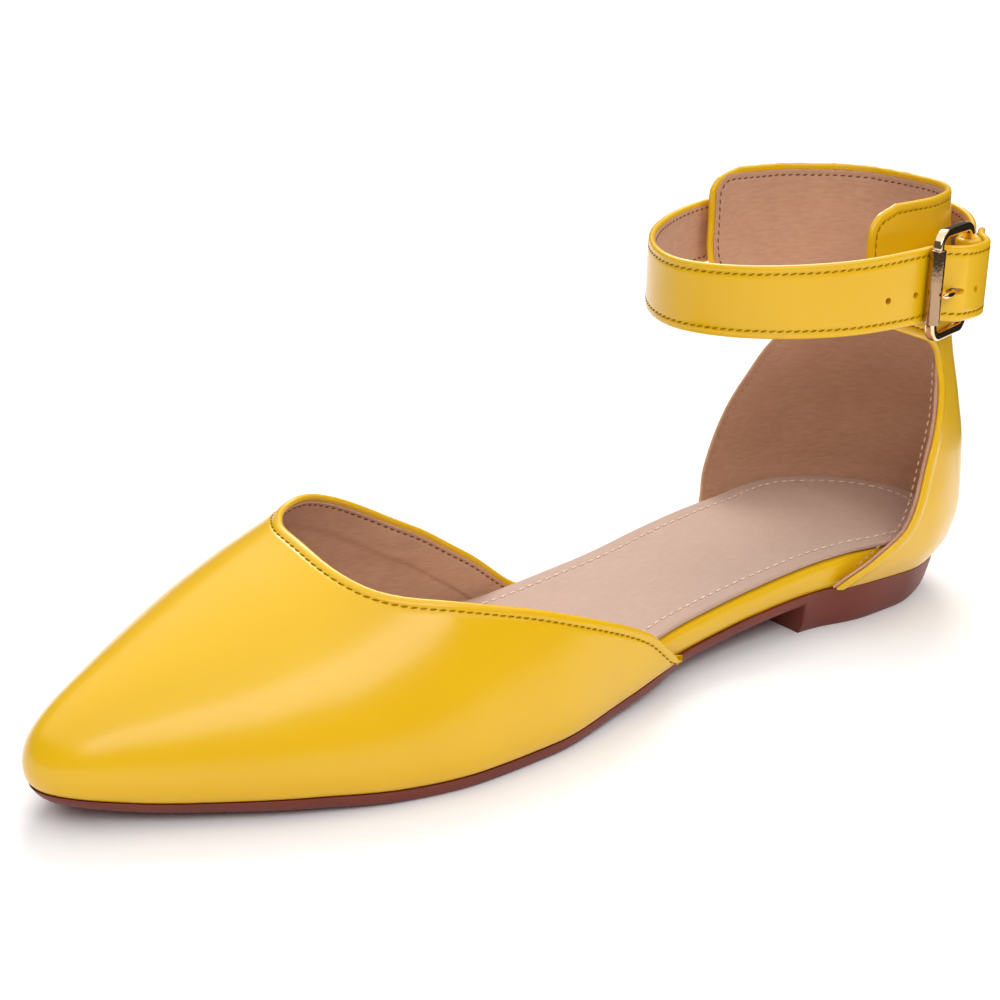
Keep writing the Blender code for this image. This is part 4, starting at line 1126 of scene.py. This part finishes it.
def makePunch():
    # round pins where the holes are and a long one where the prong passes
    points, faces = [], []
    sides = 24
    pins = [(place, 1.0, 1.25 * mm) for place in strap["holePlaces"]] + [(holeMiddle, 2.3, 3.2 * mm)]
    for place, long, reach in pins:
        middle = strapPlace(place, bandCurve(place))
        outWay = unit(strapPlace(place, bandCurve(place) + mm) - middle)
        along = np.cross((0.0, 0.0, 1.0), outWay)
        first = len(points)
        for end in (-reach, reach):
            for angle in 2 * np.pi * np.arange(sides) / sides:
                p = middle + outWay * end + along * (strap["holeRadius"] * long * math.cos(angle))
                p[2] += strap["holeRadius"] * math.sin(angle) - buckle["holeDrop"]
                points.append((p[0] + origin.x, p[1] + origin.y, p[2] + origin.z))
        for k in range(sides):
            n = (k + 1) % sides
            faces.append((first + k, first + n, first + sides + n, first + sides + k))
        faces.append(tuple(first + k for k in reversed(range(sides))))
        faces.append(tuple(first + sides + k for k in range(sides)))
    mesh = bpy.data.meshes.new("punch")
    mesh.from_pydata(points, [], faces)
    punch = bpy.data.objects.new("punch", mesh)
    bpy.context.scene.collection.objects.link(punch)
    return punch


def buildStrap():
    points, ways, talls, s = strapPath()
    punch = makePunch()
    corner = 3.2 * mm
    loops = []
    for i, (p, way, tall) in enumerate(zip(points, ways, talls)):
        fromEnd = (s[i] - s[0]) if i < len(s) else 1.0
        tall = tall - 2 * roundOver(fromEnd + 0.15 * mm, corner)
        thick = strap["thickness"] * (0.55 + 0.45 * easeStep(fromEnd, 0.0, 0.5 * mm))
        section = bandSection(tall, thick, strap["stitchInset"], 0.20 * mm)
        loops.append([(p[0] + way[0] * out, p[1] + way[1] * out, p[2] + up) for out, up in section])
    size = len(loops[0])
    faces = []
    for i in range(len(loops) - 1):
        for k in range(size):
            n = (k + 1) % size
            faces.append((i * size + k, i * size + n, (i + 1) * size + n, (i + 1) * size + k))
    faces.append(tuple(range(size)))
    faces.append(tuple((len(loops) - 1) * size + k for k in range(size)))
    piece = newPiece("ankle_strap_leather", [p for loop in loops for p in loop], faces, yellowLeather,
                     punch=punch)
    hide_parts("ankle_strap")

    # lining on the band's inner face
    chosen = slice(2, len(s) - 10)
    inward = -ways[chosen]
    centre = points[chosen] + inward * (strap["thickness"] / 2)
    ups = np.array([-1.0, -0.985, -0.96, -0.6, 0.0, 0.6, 0.96, 0.985, 1.0])
    reach = (talls[chosen] / 2 - 1.1 * mm)[:, None] * ups[None, :]
    proud = 0.16 * mm * (1 - np.abs(ups) ** 14)
    front = centre[:, None, :] + inward[:, None, :] * proud[None, :, None]
    rear = centre[:, None, :] - inward[:, None, :] * (0.25 * mm)
    front, rear = front.copy(), np.repeat(rear, len(ups), axis=1)
    front[..., 2] += reach
    rear[..., 2] += reach
    sheetPiece("ankle_strap_lining", front, rear, tanLining)
    bpy.data.objects.remove(punch)

    # seams on both faces along both edges
    runs, backRuns = [], []
    for sign in (1, -1):
        chosen = slice(4, len(s) - 3)
        face = points[chosen] + ways[chosen] * (strap["thickness"] / 2 - 0.10 * mm)
        face[:, 2] += sign * (talls[chosen] / 2 - strap["stitchInset"])
        runs.append((face, ways[chosen]))
        chosen = slice(4, len(s) - 14)
        face = points[chosen] - ways[chosen] * (strap["thickness"] / 2 + 0.12 * mm)
        face[:, 2] += sign * (talls[chosen] / 2 - strap["stitchInset"])
        backRuns.append((face, -ways[chosen]))
    sewRow("strap_stitches", runs, oliveThread, "upper_leather", pitch=2.0 * mm, slant=14.0)
    sewRow("strap_lining_stitches", backRuns, plumThread, "lining_leather", length=1.3 * mm)


barMiddle = strapPlace(-pitch, barOut)
rollerMiddle = strapPlace(0.0, rollerOut)
frameAlong = unit(rollerMiddle - barMiddle)
frameOut = np.cross(frameAlong, (0.0, 0.0, 1.0))
if frameOut[1] < 0:
    frameOut = -frameOut
frameLength = float(np.linalg.norm(rollerMiddle - barMiddle))
halfTall = strap["width"] * strap["wider"] / 2 + buckle["sideGap"] + buckle["barRadius"]


def framePoint(along, out, up):
    return barMiddle + frameAlong * along + frameOut * out + np.array([0.0, 0.0, up])


def tubePiece(name, path, wide, deep, up, material, closed=False, power=2.0, sides=20, scales=None):
    # a bar along a path, its section a rounded box from round, power 2, to square
    path = np.asarray(path, float)
    count = len(path)
    before = np.roll(path, 1, axis=0) if closed else np.concatenate([path[:1], path[:-1]])
    after = np.roll(path, -1, axis=0) if closed else np.concatenate([path[1:], path[-1:]])
    tangent = unit(after - before)
    side = unit(np.cross(tangent, up))
    other = np.cross(side, tangent)
    angles = 2 * np.pi * (np.arange(sides) + 0.5) / sides
    c, s = np.cos(angles), np.sin(angles)
    size = (np.abs(c) ** power + np.abs(s) ** power) ** (-1 / power)
    scales = np.ones(count) if scales is None else np.asarray(scales)
    rings = (path[:, None, :] + side[:, None, :] * (wide * c * size)[None, :, None] * scales[:, None, None]
             + other[:, None, :] * (deep * s * size)[None, :, None] * scales[:, None, None])
    faces = []
    for i in range(count if closed else count - 1):
        j = (i + 1) % count
        for k in range(sides):
            n = (k + 1) % sides
            faces.append((i * sides + k, i * sides + n, j * sides + n, j * sides + k))
    if not closed:
        faces.append(tuple(range(sides)))
        faces.append(tuple((count - 1) * sides + k for k in range(sides)))
    return newPiece(name, rings.reshape(-1, 3).tolist(), faces, material)


def smoothPath(points, count):
    # a soft curve through a few points
    points = np.asarray(points, float)
    lengths = np.concatenate([[0], np.cumsum(np.linalg.norm(np.diff(points, axis=0), axis=1))])
    padded = np.concatenate([[2 * points[0] - points[1]], points, [2 * points[-1] - points[-2]]])
    result = []
    for place in np.linspace(0, lengths[-1], count):
        k = min(int(np.searchsorted(lengths, place, side="right")) - 1, len(points) - 2)
        t = (place - lengths[k]) / (lengths[k + 1] - lengths[k])
        a, b, c, d = padded[k:k + 4]
        result.append(0.5 * (2 * b + (c - a) * t + (2 * a - 5 * b + 4 * c - d) * t * t
                             + (3 * b - a - 3 * c + d) * t ** 3))
    return np.array(result)


def buildBuckle():
    corners = ((0.0, -1.0, math.pi), (frameLength, -1.0, -math.pi / 2),
               (frameLength, 1.0, 0.0), (0.0, 1.0, math.pi / 2))
    radius = buckle["cornerRadius"]
    path = []
    for along, side, turn in corners:
        cx = along + (radius if along == 0.0 else -radius)
        cz = side * (halfTall - radius)
        for angle in turn + np.linspace(0, math.pi / 2, 10):
            path.append(framePoint(cx + radius * math.cos(angle), 0.0, cz + radius * math.sin(angle)))
    bar = buckle["barRadius"]
    piece = tubePiece("buckle_frame_plated", path, bar * 0.96, bar, frameOut, paleGold,
                      closed=True, power=4.5, sides=32)
    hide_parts("buckle_frame")

    half = halfTall - radius - 0.2 * mm
    outer, inner, bevel = buckle["rollerRadius"], bar + buckle["rollerGap"], 0.3 * mm
    profile = [(inner, -half), (outer - bevel, -half), (outer - bevel * 0.3, -half + bevel * 0.3),
               (outer, -half + bevel), (outer, half - bevel), (outer - bevel * 0.3, half - bevel * 0.3),
               (outer - bevel, half), (inner, half)]
    sides = 48
    points, faces = [], []
    for r, z in profile:
        for k in range(sides):
            angle = 2 * math.pi * k / sides
            points.append(framePoint(frameLength + r * math.cos(angle), r * math.sin(angle), z).tolist())
    for i in range(len(profile)):
        j = (i + 1) % len(profile)
        for k in range(sides):
            n = (k + 1) % sides
            faces.append((i * sides + k, i * sides + n, j * sides + n, j * sides + k))
    piece = newPiece("buckle_roller_knurled", points, faces, shadedRollerGold, sharp=50)
    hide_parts("buckle_roller")

    eye = bar + last["clearance"] + buckle["prongRadius"]
    path = []
    for angle in np.radians(np.linspace(335.0, 95.0, 12)):
        path.append(framePoint(eye * math.cos(angle), eye * math.sin(angle), -buckle["holeDrop"]))
    tipOut = buckle["rollerRadius"] + buckle["prongRadius"] + 0.2 * mm
    for along, out in ((0.28, 0.52), (0.44, 0.20), (0.56, 0.28), (0.66, 0.72), (0.78, 1.00),
                       (0.92, 1.04), (1.06, 0.98)):
        path.append(framePoint(frameLength * along, tipOut * out, -buckle["holeDrop"]))
    path = smoothPath(path, 90)
    scales = np.ones(len(path))
    scales[-6:] = np.array([0.97, 0.93, 0.85, 0.72, 0.52, 0.25])
    piece = tubePiece("buckle_prong_plated", path, buckle["prongRadius"], buckle["prongRadius"],
                      (0.0, 0.0, 1.0), paleGold, sides=14, scales=scales)
    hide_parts("buckle_prong")


buildStrap()
buildBuckle()
print("strap and buckle made")

# Floor, light and camera
studio = {
    "worldStrength": 0.12,
    "overheadPower": 74.0,
    "backPower": 72.0,
    "keyPower": 3.6,
    "floor": "#F8F7F7",
    "card": "#120F0E",
}


def buildStudio():
    mesh = bpy.data.meshes.new("floor")
    reach = 6.0
    mesh.from_pydata([(-reach, -reach, 0), (reach, -reach, 0), (reach, reach, 0), (-reach, reach, 0)], [],
                     [(0, 1, 2, 3)])
    floor = bpy.data.objects.new("floor", mesh)
    bpy.context.scene.collection.objects.link(floor)
    material, surface, _ = startMaterial("white studio paper")
    setSurface(material, surface, {"Base Color": hexColour(studio["floor"]), "Roughness": 0.9,
                                   "Specular IOR Level": 0.1}, {})
    mesh.materials.append(material)
    # a dark card beside the heel, seen only as a reflection in the buckle
    mesh = bpy.data.meshes.new("dark card")
    mesh.from_pydata([(-0.27, -0.05, 0.0), (-0.33, 0.22, 0.0), (-0.33, 0.22, 0.20), (-0.27, -0.05, 0.20)], [],
                     [(0, 1, 2, 3)])
    card = bpy.data.objects.new("dark card", mesh)
    bpy.context.scene.collection.objects.link(card)
    card.visible_camera = False
    card.visible_diffuse = False
    card.visible_shadow = False
    material, surface, _ = startMaterial("black flock card")
    setSurface(material, surface, {"Base Color": hexColour(studio["card"]), "Roughness": 0.95}, {})
    mesh.materials.append(material)
    world = bpy.data.worlds.new("studio")
    world.use_nodes = True
    world.node_tree.nodes["Background"].inputs["Color"].default_value = (1.0, 1.0, 1.0, 1.0)
    world.node_tree.nodes["Background"].inputs["Strength"].default_value = studio["worldStrength"]
    bpy.context.scene.world = world
    bpy.context.scene.view_settings.view_transform = "Standard"
    for name, place, aim, size, turn, power in (
            ("overhead softbox", (-0.3, -0.5, 1.70), (-0.3, -0.5, 0.0), (4.6, 4.6), 0, studio["overheadPower"]),
            ("back softbox", (-1.6, -2.0, 2.6), (-0.1, -0.1, 0.0), (1.8, 1.4), 0, studio["backPower"]),
            ("key softbox", (0.25, 0.67, 0.62), (0.07, 0.0, 0.03), (0.90, 0.34), 20, studio["keyPower"])):
        data = bpy.data.lights.new(name, "AREA")
        data.shape = "RECTANGLE"
        data.size, data.size_y = size
        data.energy = power
        light = bpy.data.objects.new(name, data)
        bpy.context.scene.collection.objects.link(light)
        light.location = place
        light.rotation_mode = "QUATERNION"
        facing = (Vector(aim) - Vector(place)).to_track_quat("-Z", "Y")
        light.rotation_quaternion = facing @ Quaternion((0.0, 0.0, 1.0), math.radians(turn))


view = {
    "azimuth": 51.469,
    "elevation": 19.917,
    "roll": 1.606,
    "distance": 0.600,
    "target": (70.06 * mm, -95.41 * mm, 3.21 * mm),
    "lens": 71.26,
}


def buildCamera():
    azimuth, elevation, roll = (math.radians(view[key]) for key in ("azimuth", "elevation", "roll"))
    back = Vector((math.cos(azimuth) * math.cos(elevation), math.sin(azimuth) * math.cos(elevation),
                   math.sin(elevation)))
    right = Vector((-math.sin(azimuth), math.cos(azimuth), 0.0))
    up = back.cross(right)
    right, up = (right * math.cos(roll) + up * math.sin(roll), up * math.cos(roll) - right * math.sin(roll))
    data = bpy.data.cameras.new("camera")
    data.sensor_width = 36.0
    data.lens = view["lens"]
    camera = bpy.data.objects.new("camera", data)
    bpy.context.scene.collection.objects.link(camera)
    camera.matrix_world = (Matrix.Translation(Vector(view["target"]) + origin + back * view["distance"])
                           @ Matrix((right, up, back)).transposed().to_4x4())
    bpy.context.scene.camera = camera


buildStudio()
buildCamera()
print("studio made")
